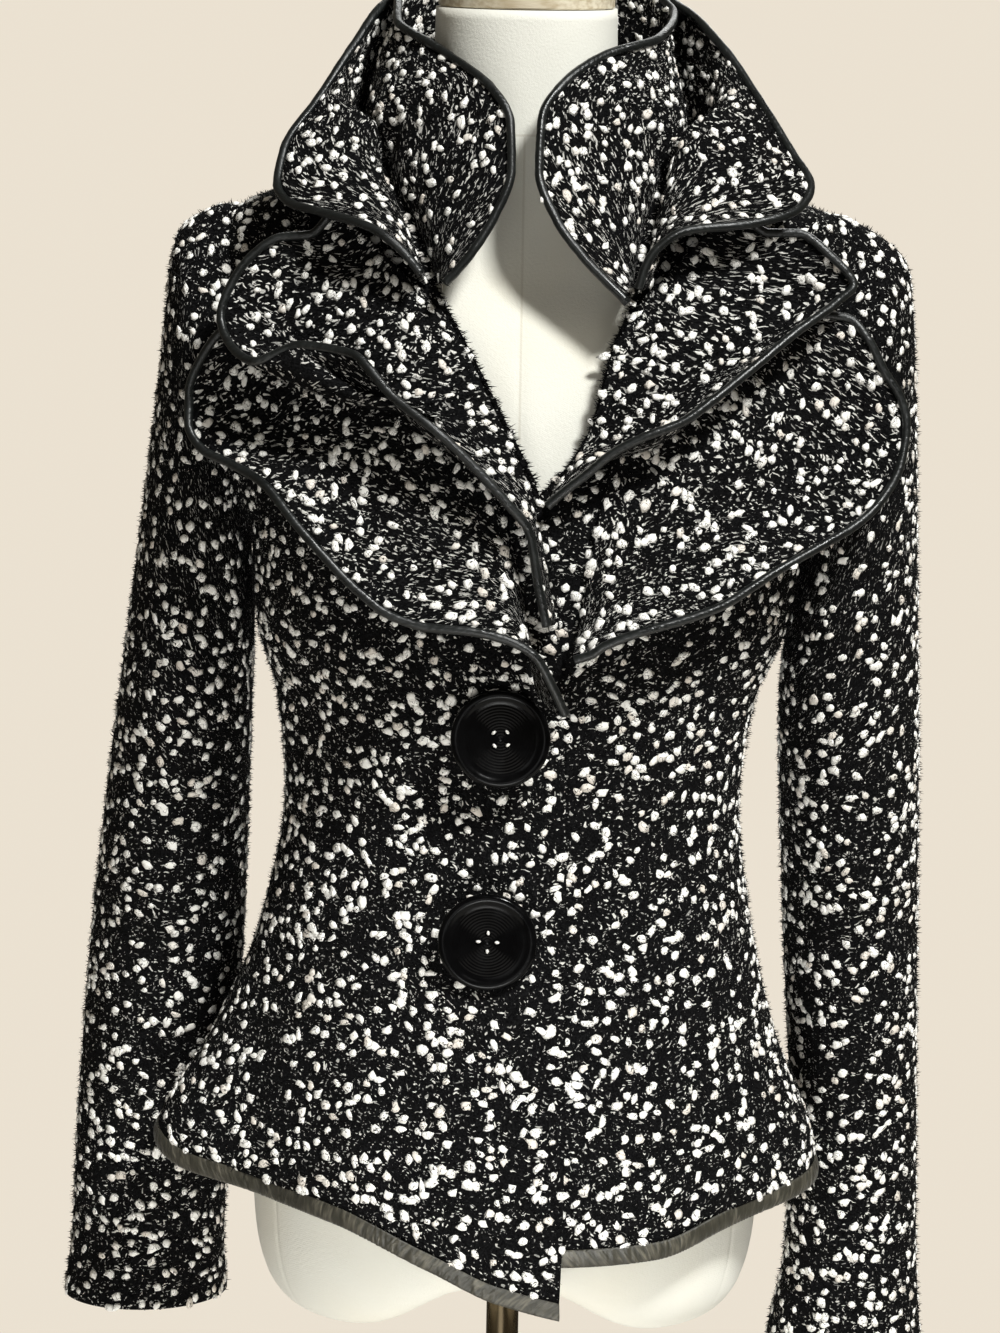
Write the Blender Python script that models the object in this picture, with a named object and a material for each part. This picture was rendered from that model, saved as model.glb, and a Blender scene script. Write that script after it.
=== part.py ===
"""Boucle blazer with tiered collar and lapels, hanging on a limbless dress form.

Frame: metres, +Z up, the origin on the floor under the pole, the front facing -Y.
The wearer's right is -X. Tables are in millimetres, angles in degrees.
A cloth surface is a grid laid on a function and given its wall by Solidify.
"""
import math

import bmesh
import bpy
from mathutils import Matrix, Vector

MM = 0.001
RIGHT = -1
LEFT = 1

# Driving sizes, in millimetres
CLOTH = 2.4
SEAM = 0.4
PIPING_RADIUS = 2.4
PIPING_GAP = 0.9
HEM_GAP = 0.9
LAPEL_OUT = 2.8
HEM_BAND = 8.5
LAP_LIFT = 4.6
UPPER_CLEAR = 12.0
LOWER_CLEAR = 4.6
HUG = 6.0
ROUNDNESS = 2.25
SEAM_ANGLE = 0.14
SKIRT_ROWS = 8
FRONT_COLUMNS = 11
BACK_COLUMNS = 16
COLLAR_STEPS = 36
LAPEL_STEPS = 20
LEAF_ROWS = 4

# Armhole, an ellipse of angle and height round the side seam
UNDERARM = 1202.0
SHOULDER_TIP = 1378.0
ARMHOLE_ANGLE = 28.0
SLEEVE_SIDES = 16
SLEEVE_ROWS = 12
SLEEVE_EASE = 1.35
NECK_TOP_ROW = 1410.0

# Flute of the peplum in front of each side seam
FLUTE_AT = 80.0
FLUTE_WIDTH = 16.0

# Outer face of the cloth, ring by ring: height, half width, depth to the front and to the
# back, sideways shift and how far the right and the left flute stand out
BODY = (
    ("skirt", 780, 156, 152, 142, -2, 46, 28),
    ("hem", 880, 150, 140, 134, -2, 43, 23),
    ("hip", 940, 141, 121, 118, -2, 19, 9),
    ("high_hip", 1000, 132, 106, 102, -1, 4, 2),
    ("waist", 1065, 125, 98, 92, 0, 0, 0),
    ("ribs", 1120, 131, 106, 95, 1, 0, 0),
    ("bust_low", 1165, 146, 117, 100, 3.5, 0, 0),
    ("bust", 1215, 152, 122, 104, 6.5, 0, 0),
    ("chest", 1275, 160, 112, 106, 8, 0, 0),
    ("yoke", 1325, 168, 94, 102, 8, 0, 0),
    ("shoulder", 1362, 172, 70, 88, 8, 0, 0),
    ("tip", 1384, 164, 58, 78, 7, 0, 0),
    ("slope", 1400, 126, 54, 70, 3, 0, 0),
    ("neck", 1416, 78, 52, 66, 0, 0, 0),
)
BODY_KEYS = ("half", "front", "back", "shift", "flute_right", "flute_left")

# Front edges: height and distance across from the middle, at the lap and up the V
EDGE_RIGHT = ((780, 27), (880, 30), (1030, 29), (1126, 26), (1175, 23), (1246, 11), (1280, -5),
              (1321, -27), (1352, -45), (1382, -58), (1410, -74))
EDGE_LEFT = ((780, -26), (1100, -26), (1175, -18), (1246, 11), (1257, 22), (1281, 37),
             (1322, 48), (1345, 58), (1382, 66), (1410, 75))

# Hem height by the angle from the middle of the front, each side on its own
HEM_RIGHT = ((-16, 812), (-2, 823), (12, 842), (32, 861), (52, 866), (70, 873), (82, 885),
             (96, 890), (130, 880), (180, 874))
HEM_LEFT = ((-16, 845), (12, 844), (30, 845), (48, 854), (66, 861), (82, 870), (96, 880),
            (130, 878), (180, 874))

# Sleeves: inner and outer point of each section seen from the front, then its middle and half
# depth from front to back
SLEEVE_RIGHT = (
    ("head", 147, 1214, 180, 1392, 12, 54),
    ("cap", 146, 1196, 191, 1358, 13, 60),
    ("upper", 144, 1162, 197, 1298, 14, 62),
    ("arm", 145, 1118, 209, 1195, 18, 60),
    ("elbow", 147, 1050, 226, 1060, 34, 55),
    ("forearm", 150, 970, 236, 970, 50, 50),
    ("low", 156, 860, 244, 860, 63, 46),
    ("wrist", 160, 797, 247, 795, 66, 46),
    ("cuff", 158, 763, 251, 761, 66, 49),
)
SLEEVE_LEFT = (
    ("head", 159, 1214, 198, 1384, 12, 54),
    ("cap", 156.5, 1196, 212, 1352, 13, 60),
    ("upper", 150.5, 1162, 217, 1290, 14, 62),
    ("arm", 147, 1118, 221, 1195, 18, 60),
    ("elbow", 150, 1050, 227, 1060, 34, 55),
    ("forearm", 155, 970, 230, 970, 50, 50),
    ("low", 162, 860, 234, 860, 63, 46),
    ("wrist", 161, 797, 236, 795, 66, 46),
    ("cuff", 152, 742, 240, 740, 66, 49),
)
SLEEVE_KEYS = ("inner_x", "inner_z", "outer_x", "outer_z", "middle", "depth")

# Neckline under the collar from notch to middle back: share, angle, height. Up to the shoulder
# the angle is that of the front edge, so only the height is given there
NECK_SHARES = ((0.0, 0, 1353), (0.2, 0, 1382), (0.38, 0, 1407), (0.55, 90, 1412),
               (0.78, 135, 1413), (1.0, 180, 1414))

# Tiers of the collar: share of the neckline, then the free edge and the swell of the leaf
COLLAR_INNER_RIGHT = (
    (0.00, -41, -104, 1355, 0), (0.09, -28, -101, 1371, 0), (0.18, -16, -95, 1391, 0),
    (0.26, -8, -87, 1414, 0), (0.34, -9, -79, 1438, 0), (0.42, -19, -69, 1455, 0),
    (0.52, -44, -46, 1472, 0), (0.64, -70, -14, 1488, 0), (0.78, -70, 26, 1502, 0),
    (0.90, -42, 66, 1514, 0), (1.00, 0, 84, 1520, 0),
)
COLLAR_INNER_LEFT = (
    (0.00, 51, -104, 1351, 0), (0.09, 32, -100, 1371, 0), (0.18, 18, -95, 1390, 0),
    (0.26, 9, -87, 1414, 0), (0.34, 10, -78, 1440, 0), (0.42, 20, -68, 1457, 0),
    (0.52, 42, -48, 1472, 0), (0.64, 72, -20, 1481, 0), (0.78, 80, 26, 1492, 0),
    (0.90, 44, 66, 1514, 0), (1.00, 0, 84, 1520, 0),
)
COLLAR_OUTER_RIGHT = (
    (0.00, -53, -106, 1360, 6), (0.07, -63, -105, 1372, 8), (0.14, -80, -99, 1384, 8),
    (0.22, -107, -84, 1391, 6), (0.29, -122, -71, 1394, 6), (0.35, -130, -56, 1403, 5),
    (0.42, -127, -41, 1421, 3), (0.50, -111, -18, 1445, -4), (0.60, -93, 8, 1472, -12),
    (0.72, -78, 34, 1494, -4), (0.86, -46, 88, 1508, -2), (1.00, 0, 106, 1512, -2),
)
COLLAR_OUTER_LEFT = (
    (0.00, 61, -106, 1354, 6), (0.07, 67, -105, 1371, 8), (0.14, 85, -101, 1385, 8),
    (0.22, 119, -90, 1389, 8), (0.29, 144, -74, 1396, 8), (0.35, 151, -60, 1407, 6),
    (0.42, 141, -42, 1424, 4), (0.50, 125, -19, 1449, 2), (0.60, 105, 8, 1476, 0),
    (0.72, 86, 34, 1494, -4), (0.86, 50, 88, 1508, -2), (1.00, 0, 106, 1512, -2),
)
COLLAR_KEYS = ("x", "y", "z", "swell")

# Stand of the collar, shared by both tiers: share of the neckline, reach away from the neck, lean
# along the neckline to the front, rise
STAND = ((0.0, 4, 1, 4), (0.2, 9, 10, 18), (0.34, 5, 17, 26), (0.42, 4, 20, 34), (0.5, 4, 20, 42),
         (0.62, 4, 15, 46), (0.8, 5, 6, 46), (1.0, 6, 0, 46))

# Lapels: root on the front across and up, then the free edge and the swell
UPPER_RIGHT = (
    (-45, 1342, -112, -73, 1376, 4), (-40, 1337, -128, -71, 1374, 9),
    (-35, 1331, -148, -74, 1358, 16), (-31, 1324, -158, -78, 1334, 20),
    (-27, 1317, -152, -90, 1319, 20), (-22, 1308, -138, -106, 1312, 18),
    (-17, 1298, -114, -112, 1321, 18), (-12, 1288, -88, -122, 1318, 16),
    (-6, 1277, -65, -135, 1297, 14), (0, 1264, -38, -144, 1277, 10),
    (7, 1249, -8, -144, 1247, 6), (12, 1228, 6, -139, 1229, 2),
    (17, 1200, 13, -136, 1198, 0), (21, 1180, 17, -134, 1180, 0),
)
UPPER_LEFT = (
    (59, 1340, 130, -71, 1381, 4), (55, 1333, 145, -70, 1381, 9),
    (51, 1326, 161, -73, 1371, 14), (48, 1319, 174, -75, 1356, 16),
    (46, 1312, 164, -86, 1346, 16), (44, 1304, 143, -103, 1332, 16),
    (42, 1296, 120, -118, 1314, 16), (40, 1288, 99, -131, 1298, 14),
    (37, 1280, 83, -137, 1287, 12), (34, 1274, 63, -140, 1279, 8),
    (30, 1268, 48, -140, 1271, 4), (26, 1261, 35, -138, 1260, 2),
)
LOWER_RIGHT = (
    (-50, 1334, -146, -70, 1332, 4), (-48, 1328, -161, -68, 1321, 6),
    (-46, 1321, -175, -67, 1292, 10), (-43, 1314, -175, -71, 1276, 12),
    (-40, 1306, -167, -79, 1263, 12), (-37, 1298, -152, -88, 1257, 12),
    (-33, 1290, -135, -100, 1249, 10), (-29, 1281, -112, -118, 1225, 9),
    (-24, 1270, -82, -131, 1196, 8), (-18, 1258, -64, -136, 1184, 8),
    (-12, 1246, -45, -139, 1179, 8), (-6, 1232, -25, -142, 1178, 6),
    (-1, 1214, -5, -143, 1174, 4), (4, 1192, 9, -142, 1166, 3),
    (8, 1168, 18, -138, 1150, 2), (13, 1142, 26, -131, 1132, 1),
)
LOWER_LEFT = (
    (67, 1332, 156, -64, 1338, 4), (66, 1327, 173, -63, 1336, 6),
    (64, 1321, 184, -66, 1325, 8), (62, 1315, 193, -66, 1308, 10),
    (60, 1309, 202, -66, 1294, 12), (58, 1302, 205, -68, 1280, 12),
    (56, 1294, 202, -74, 1261, 12), (54, 1286, 192, -82, 1243, 12),
    (52, 1278, 179, -90, 1231, 12), (50, 1269, 160, -103, 1221, 12),
    (47, 1258, 136, -117, 1209, 10), (44, 1244, 106, -128, 1191, 8),
    (41, 1228, 86, -132, 1184, 6), (38, 1210, 62, -135, 1177, 4),
    (35, 1192, 46, -134, 1170, 2), (33, 1178, 39, -132, 1165, 0),
)
LAPEL_KEYS = ("root_x", "root_z", "x", "y", "z", "swell")

# Dress form: height, half width, depth to the front and to the back, and the share of the arch
# under the body that the ring takes
FORM = (
    ("seat", 776, 15, 15, 15, 1.0),
    ("inner", 775, 60, 40, 44, 1.0),
    ("under", 777, 99, 78, 71, 1.0),
    ("rim", 783, 120, 99, 89, 0.85),
    ("turn", 800, 133, 111, 101, 0.5),
    ("lobe", 828, 139, 117, 107, 0.1),
    ("hip", 870, 141, 119, 110, 0.0),
    ("high_hip", 940, 130, 109, 106, 0.0),
    ("belly", 1000, 120, 95, 90, 0.0),
    ("waist", 1065, 114, 86, 80, 0.0),
    ("ribs", 1120, 119, 94, 83, 0.0),
    ("bust_low", 1165, 128, 104, 88, 0.0),
    ("bust", 1215, 137, 110, 92, 0.0),
    ("chest", 1275, 142, 100, 94, 0.0),
    ("yoke", 1325, 143, 82, 90, 0.0),
    ("shoulder", 1356, 140, 62, 78, 0.0),
    ("tip", 1384, 144, 51, 68, 0.0),
    ("slope", 1400, 116, 48, 60.5, 0.0),
    ("base", 1411, 73, 48, 55, 0.0),
    ("neck_low", 1428, 55, 49, 50, 0.0),
    ("neck", 1458, 50, 48, 48, 0.0),
    ("neck_top", 1496, 49, 47, 47, 0.0),
)
FORM_SIDES = 28
FORM_ARCH = 32.0
ARCH_FLAT = 17.0
ARCH_RUN = 38.0
CAP_HEIGHT = 16.0
CAP_ROUND = 6.0
POLE_RADIUS = 9.0
POLE_SIDES = 24
BASE_RADIUS = 175.0
BASE_HEIGHT = 8.0
BASE_ROUND = 2.5
BASE_SIDES = 48

# Buttons: name, across, height and the turn of the four holes. Profile: radius and height
BUTTONS = (("button_upper", -7, 1116, 4.0), ("button_lower", -12, 1006, 43.0))
BUTTON_PROFILE = ((0, 0), (22, 0), (26, 1.6), (26.5, 3.4), (25.2, 5.6), (23.2, 6.2), (20, 4.6),
                  (10, 3.8), (0, 3.8))
BUTTON_SIDES = 36
HOLE_RADIUS = 1.7
HOLE_SPREAD = 5.0


def smooth(keys, values, key):
    """Value at key on a curve through the rows that never swings past them."""
    if key <= keys[0]:
        return values[0]
    if key >= keys[-1]:
        return values[-1]
    low = max(i for i in range(len(keys) - 1) if keys[i] <= key)
    steps = [keys[i + 1] - keys[i] for i in range(len(keys) - 1)]
    rises = [(values[i + 1] - values[i]) / steps[i] for i in range(len(steps))]

    def slope(i):
        if i == 0 or i == len(keys) - 1:
            return rises[min(i, len(rises) - 1)]
        before, after = rises[i - 1], rises[i]
        if before * after <= 0:
            return 0.0
        return 2 * before * after / (before + after)

    share = (key - keys[low]) / steps[low]
    a, b = values[low], values[low + 1]
    m, n = slope(low) * steps[low], slope(low + 1) * steps[low]
    return (a * (1 + 2 * share) * (1 - share) ** 2 + b * share ** 2 * (3 - 2 * share)
            + m * share * (1 - share) ** 2 - n * share ** 2 * (1 - share))


def mix(a, b, share):
    """Value between a and b."""
    return a + (b - a) * share


def ramp(low, high, value):
    """Soft step from 0 at low to 1 at high."""
    share = min(1.0, max(0.0, (value - low) / (high - low)))
    return share * share * (3 - 2 * share)


def power(value, exponent):
    """Power that keeps the sign of the value."""
    return math.copysign(abs(value) ** exponent, value)


class Table:
    """Named columns over a rising key column, read smoothly between rows."""

    def __init__(self, rows, names, key_at=0):
        self.keys = [row[key_at] for row in rows]
        self.columns = {name: [row[key_at + 1 + i] for row in rows] for i, name in enumerate(names)}

    def at(self, name, key):
        """Value of a column at a key."""
        return smooth(self.keys, self.columns[name], key)


BODY_TABLE = Table(BODY, BODY_KEYS, key_at=1)
EDGES = {RIGHT: Table(EDGE_RIGHT, ("x",)), LEFT: Table(EDGE_LEFT, ("x",))}
HEMS = {RIGHT: Table(HEM_RIGHT, ("z",)), LEFT: Table(HEM_LEFT, ("z",))}
NECK = Table(NECK_SHARES, ("angle", "z"))
STAND_TABLE = Table(STAND, ("reach", "lean", "rise"))


def ring_point(half, front, back, angle):
    """Point and outward direction on a ring, angle 0 at the front and 90 at +X."""
    sine, cosine = math.sin(math.radians(angle)), math.cos(math.radians(angle))
    depth = front if cosine > 0 else back
    across = power(sine, 2 / ROUNDNESS)
    along = -power(cosine, 2 / ROUNDNESS)
    outward = Vector((power(across, ROUNDNESS - 1) / half, power(along, ROUNDNESS - 1) / depth, 0))
    return Vector((half * across, depth * along, 0)), outward.normalized()


def body_point(side, angle, z, out=0.0):
    """Point on the outer face of the cloth, moved out by a distance, in millimetres."""
    row = {name: BODY_TABLE.at(name, z) for name in BODY_KEYS}
    point, outward = ring_point(row["half"], row["front"], row["back"], angle)
    bump = math.exp(-((angle - FLUTE_AT) / FLUTE_WIDTH) ** 2)
    flute = row["flute_right"] if side == RIGHT else row["flute_left"]
    point += outward * (flute * bump + out)
    return Vector((row["shift"] + side * point.x, point.y, z))


def angle_at(side, x, z):
    """Angle of the ring where it crosses a distance x from the middle, at the front."""
    across = side * (x - BODY_TABLE.at("shift", z)) / BODY_TABLE.at("half", z)
    sine = power(across, ROUNDNESS / 2)
    return math.degrees(math.asin(max(-0.99, min(0.99, sine))))


def edge_angle(side, z):
    """Angle of the cut edge of a front at a height."""
    return angle_at(side, EDGES[side].at("x", z), z)


def lap(side, angle):
    """How far the right front stands out where it laps the left front."""
    return LAP_LIFT * ramp(48, 24, angle) if side == RIGHT else 0.0


def armhole_rows():
    """Heights of the ring of armhole points from underarm to shoulder tip."""
    middle, reach = (SHOULDER_TIP + UNDERARM) / 2, (SHOULDER_TIP - UNDERARM) / 2
    half = SLEEVE_SIDES // 2
    return [middle - reach * math.cos(math.pi * i / half) for i in range(half + 1)]


def armhole_reach(z):
    """Half the angle that the armhole takes at a height."""
    middle, reach = (SHOULDER_TIP + UNDERARM) / 2, (SHOULDER_TIP - UNDERARM) / 2
    return ARMHOLE_ANGLE * math.sqrt(max(0.0, 1 - ((z - middle) / reach) ** 2))


PANEL_ROWS = ([("skirt", i / SKIRT_ROWS) for i in range(SKIRT_ROWS)]
              + [("level", z) for z in armhole_rows()]
              + [("level", mix(SHOULDER_TIP, NECK_TOP_ROW, share)) for share in (0.35, 0.7, 1.0)])


def front_point(side, share, row):
    """Point of a front, share from its cut edge to the side seam or armhole."""
    kind, value = PANEL_ROWS[row]
    z = mix(830, UNDERARM, value) if kind == "skirt" else value
    low = edge_angle(side, z)
    high = 90 - SEAM_ANGLE - armhole_reach(z)
    angle = mix(low, high, share)
    if kind == "skirt":
        z = mix(HEMS[side].at("z", angle), UNDERARM, value)
    return body_point(side, angle, z, lap(side, angle))


def back_point(share, row):
    """Point of the back, share from the right side seam or armhole to the left one."""
    kind, value = PANEL_ROWS[row]
    z = UNDERARM if kind == "skirt" else value
    turn = 2 * share - 1
    side = RIGHT if turn < 0 else LEFT
    angle = 180 - abs(turn) * (90 - SEAM_ANGLE - armhole_reach(z))
    if kind == "skirt":
        z = mix(HEMS[side].at("z", angle), UNDERARM, value)
    return body_point(side, angle, z)


def hem_point(side, angle, drop):
    """Point of the hem band, drop millimetres under the edge of the panel."""
    z = HEMS[side].at("z", angle) - drop
    return body_point(side, angle, z, lap(side, angle))


def sleeve_point(side, rows, table, turn, share):
    """Point of a sleeve: turn round from the top by the front, share from armhole to cuff."""
    share = share ** SLEEVE_EASE
    circle = 2 * math.pi * turn
    middle = (SHOULDER_TIP + UNDERARM) / 2
    reach = (SHOULDER_TIP - UNDERARM) / 2 - SEAM
    z = middle + reach * math.cos(circle)
    angle = 90 - (ARMHOLE_ANGLE - 0.25) * math.sin(circle)
    start = body_point(side, angle, z)
    key = share * (len(rows) - 1)
    row = {name: table.at(name, key) for name in SLEEVE_KEYS}
    inner = Vector((side * row["inner_x"], row["middle"], row["inner_z"]))
    outer = Vector((side * row["outer_x"], row["middle"], row["outer_z"]))
    section = ((inner + outer) / 2 + (outer - inner) / 2 * math.cos(circle)
               - Vector((0, row["depth"], 0)) * math.sin(circle))
    return start.lerp(section, ramp(-0.02, 0.09, share) if share > 0 else 0.0)


def neck_point(side, share, inward, out):
    """Point of the neckline seam, moved past the cut edge of the panels and out."""
    z = NECK.at("z", share)
    reached = ramp(0.34, 0.5, share)
    free = edge_angle(side, min(z, NECK_TOP_ROW)) - inward
    angle = mix(free, max(free, NECK.at("angle", share)), reached)
    return body_point(side, angle, z + inward * 0.4 * reached, out + lap(side, angle))


def leaf_point(root, control, edge, share):
    """Point of a leaf between its seam and its free edge, drawn towards a control point."""
    first, second = root.lerp(control, share), control.lerp(edge, share)
    return first.lerp(second, share)


def hugged(side, spot, lift, softness):
    """The point, or one in front of it where it would lie closer than lift to the front panel."""
    angle = angle_at(side, spot.x, spot.z)
    cover = body_point(side, angle, spot.z, lap(side, angle))
    facing = max(0.35, (cover - body_point(side, angle, spot.z, lap(side, angle) + 1)).y)
    limit = cover.y - lift / facing
    past = spot.y - limit
    return Vector((spot.x, limit + (past - math.hypot(past, softness)) / 2, spot.z))


class Collar:
    """One tier of the collar, from the right notch round the back to the left notch."""

    def __init__(self, right, left, inward, out):
        self.tables = {RIGHT: Table(right, COLLAR_KEYS), LEFT: Table(left, COLLAR_KEYS)}
        self.inward = inward
        self.out = out

    def ends(self, along):
        """Root, free edge and swell at a place along the collar, -1 right to 1 left."""
        side = RIGHT if along < 0 else LEFT
        share = 1 - abs(along)
        table = self.tables[side]
        root = neck_point(side, share, self.inward, self.out)
        edge = Vector([table.at(name, share) for name in ("x", "y", "z")])
        return root, edge, table.at("swell", share)

    def point(self, along, share):
        """Point of the tier, along 0 to 1 from right to left, share from seam to free edge."""
        along = 2 * along - 1
        root, edge, swell = self.ends(along)
        away = Vector((root.x, root.y, 0)).normalized()
        side = RIGHT if along < 0 else LEFT
        ahead = Vector((side * away.y, -side * away.x, 0))
        reach, lean, rise = (STAND_TABLE.at(name, 1 - abs(along)) for name in ("reach", "lean", "rise"))
        control = root + away * (reach + swell) + ahead * lean + Vector((0, 0, rise))
        return leaf_point(root, control, edge, share)


class Lapel:
    """One ruffled lapel tier, from the notch down to the front edge."""

    def __init__(self, side, rows, out, clear):
        self.side = side
        self.clear = clear
        self.table = Table([(i,) + row for i, row in enumerate(rows)], LAPEL_KEYS)
        self.last = len(rows) - 1
        self.out = out

    def ends(self, along):
        """Root, free edge and swell at a place along the lapel."""
        row = {name: self.table.at(name, along * self.last) for name in LAPEL_KEYS}
        angle = angle_at(self.side, row["root_x"], row["root_z"])
        out = self.out + lap(self.side, angle)
        root = body_point(self.side, angle, row["root_z"], out)
        return root, Vector((row["x"], row["y"], row["z"])), row["swell"]

    def point(self, along, share):
        """Point of the lapel, swollen off the line from root to edge and clear of the front."""
        before, after = max(0.0, along - 0.01), min(1.0, along + 0.01)
        root, edge, swell = self.ends(along)
        across = self.ends(after)[1] - self.ends(before)[1]
        across += self.ends(after)[0] - self.ends(before)[0]
        normal = (across * -self.side).cross(edge - root).normalized()
        control = root.lerp(edge, 0.45) + normal * swell * 2
        spot = leaf_point(root, control, edge, share)
        lift = mix(self.out, self.clear, ramp(0, 0.35, share))
        return hugged(self.side, spot, lift, HUG * min(1.0, 4 * share) + 0.01)


def material(name, colour, roughness, metallic=0.0):
    """A plain finish."""
    made = bpy.data.materials.new(name)
    made.use_nodes = True
    shader = made.node_tree.nodes["Principled BSDF"]
    shader.inputs["Base Color"].default_value = (*colour, 1)
    shader.inputs["Roughness"].default_value = roughness
    shader.inputs["Metallic"].default_value = metallic
    return made


def to_object(name, bm, finish):
    """Closes a bmesh into a named object with one finish and smooth shading."""
    mesh = bpy.data.meshes.new(name)
    for face in bm.faces:
        face.smooth = True
    bm.to_mesh(mesh)
    bm.free()
    made = bpy.data.objects.new(name, mesh)
    made.data.materials.append(finish)
    bpy.context.collection.objects.link(made)
    return made


def grid(function, columns, rows, flip=False, closed=False):
    """A grid laid on function(u, v), in metres, u and v from 0 to 1."""
    bm = bmesh.new()
    bmesh.ops.create_grid(bm, x_segments=columns, y_segments=rows, size=0.5)
    for vert in bm.verts:
        vert.co = function(vert.co.x + 0.5, vert.co.y + 0.5) * MM
    if closed:
        bmesh.ops.remove_doubles(bm, verts=bm.verts[:], dist=1e-6)
    if flip:
        bmesh.ops.reverse_faces(bm, faces=bm.faces[:])
    return bm


def cloth(name, bm, finish, thickness=CLOTH):
    """Gives a grid its cloth wall, behind the face that is seen."""
    made = to_object(name, bm, finish)
    wall = made.modifiers.new("wall", "SOLIDIFY")
    wall.thickness = thickness * MM
    wall.offset = -1
    wall.use_even_offset = False
    return made


def piping(name, surface, steps, finish):
    """A round bound edge just past the free edge of a leaf."""
    data = bpy.data.curves.new(name, "CURVE")
    data.dimensions = "3D"
    data.bevel_depth = PIPING_RADIUS * MM
    data.bevel_resolution = 1
    data.use_fill_caps = True
    spline = data.splines.new("POLY")
    spline.points.add(steps)
    for i, place in enumerate(spline.points):
        edge, inside = surface.point(i / steps, 1.0), surface.point(i / steps, 0.9)
        ahead = surface.point(min(1, (i + 0.5) / steps), 1.0)
        behind = surface.point(max(0, (i - 0.5) / steps), 1.0)
        along = (ahead - behind).normalized()
        outward = edge - inside
        outward = (outward - along * outward.dot(along)).normalized()
        spot = edge + outward * (PIPING_RADIUS + PIPING_GAP)
        place.co = (*(spot * MM), 1)
    spline.use_smooth = True
    made = bpy.data.objects.new(name, data)
    data.materials.append(finish)
    bpy.context.collection.objects.link(made)
    return made


def loft(name, rings, finish):
    """A closed solid through rings of points, capped flat at both ends."""
    bm = bmesh.new()
    loops = []
    for ring in rings:
        loop = bmesh.ops.create_circle(bm, cap_ends=False, radius=1, segments=len(ring))["verts"]
        for vert, spot in zip(loop, ring):
            vert.co = spot * MM
        loops.append(loop)
    for low, high in zip(loops, loops[1:]):
        edges = [edge for edge in bm.edges if edge.verts[0] in low and edge.verts[1] in low]
        edges += [edge for edge in bm.edges if edge.verts[0] in high and edge.verts[1] in high]
        bmesh.ops.bridge_loops(bm, edges=edges)
    bmesh.ops.contextual_create(bm, geom=loops[0])
    bmesh.ops.contextual_create(bm, geom=loops[-1])
    bmesh.ops.recalc_face_normals(bm, faces=bm.faces[:])
    return to_object(name, bm, finish)


def form_ring(row):
    """Points of one ring of the dress form, lifted under the body by the arch."""
    _, z, half, front, back, arch = row
    points = []
    for i in range(FORM_SIDES):
        spot, _ = ring_point(half, front, back, 360 * i / FORM_SIDES)
        past = max(0.0, abs(spot.x) - ARCH_FLAT) / ARCH_RUN
        spot.z = z + FORM_ARCH * arch * math.exp(-past * past)
        points.append(spot)
    return points


def disc(name, radius, low, high, rounding, sides, finish):
    """A round plate or post with softened rims."""
    bm = bmesh.new()
    bmesh.ops.create_cone(bm, cap_ends=True, segments=sides, radius1=radius * MM,
                          radius2=radius * MM, depth=(high - low) * MM)
    bmesh.ops.translate(bm, verts=bm.verts[:], vec=(0, 0, (low + high) / 2 * MM))
    made = to_object(name, bm, finish)
    if rounding:
        edge = made.modifiers.new("rim", "BEVEL")
        edge.width = rounding * MM
        edge.segments = 3
        edge.limit_method = "ANGLE"
        edge.angle_limit = math.radians(60)
    return made


def button(name, across, height, turn, finish):
    """A turned button with a raised rim and four holes, lying on the right front."""
    bm = bmesh.new()
    verts = [bm.verts.new(Vector((r, -h, 0)) * MM) for r, h in BUTTON_PROFILE]
    edges = [bm.edges.new(pair) for pair in zip(verts, verts[1:])]
    bmesh.ops.spin(bm, geom=verts + edges, cent=(0, 0, 0), axis=(0, 1, 0),
                   angle=2 * math.pi, steps=BUTTON_SIDES)
    bmesh.ops.remove_doubles(bm, verts=bm.verts[:], dist=1e-6)
    poles = [vert for vert in bm.verts if vert.co.x ** 2 + vert.co.z ** 2 < 1e-10]
    bmesh.ops.dissolve_verts(bm, verts=poles)
    bmesh.ops.recalc_face_normals(bm, faces=bm.faces[:])
    seat = front_seat(across, height)
    bmesh.ops.translate(bm, verts=bm.verts[:], vec=seat * MM)
    made = to_object(name, bm, finish)
    holes = bmesh.new()
    for i in range(4):
        around = math.radians(turn + 45 + 90 * i)
        spot = seat + Vector((math.cos(around), 0, math.sin(around))) * HOLE_SPREAD
        place = Matrix.Translation(spot * MM) @ Matrix.Rotation(math.radians(90), 4, "X")
        bmesh.ops.create_cone(holes, cap_ends=True, segments=10, radius1=HOLE_RADIUS * MM,
                              radius2=HOLE_RADIUS * MM, depth=24 * MM, matrix=place)
    cutter = to_object(f"{name}_holes", holes, finish)
    cutter.hide_render = True
    cutter.display_type = "WIRE"
    cut = made.modifiers.new("holes", "BOOLEAN")
    cut.operation = "DIFFERENCE"
    cut.solver = "EXACT"
    cut.object = cutter
    return made


def front_seat(across, height):
    """Middle of a button's back, just clear of the right front under its whole width."""
    nearest = 0.0
    for i in range(24):
        around = math.radians(15 * i)
        x, z = across + 22 * math.cos(around), height + 22 * math.sin(around)
        angle = angle_at(RIGHT, x, z)
        nearest = min(nearest, body_point(RIGHT, angle, z, lap(RIGHT, angle)).y)
    middle = angle_at(RIGHT, across, height)
    nearest = min(nearest, body_point(RIGHT, middle, height, lap(RIGHT, middle)).y)
    return Vector((across, nearest - SEAM - 0.3, height))


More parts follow.
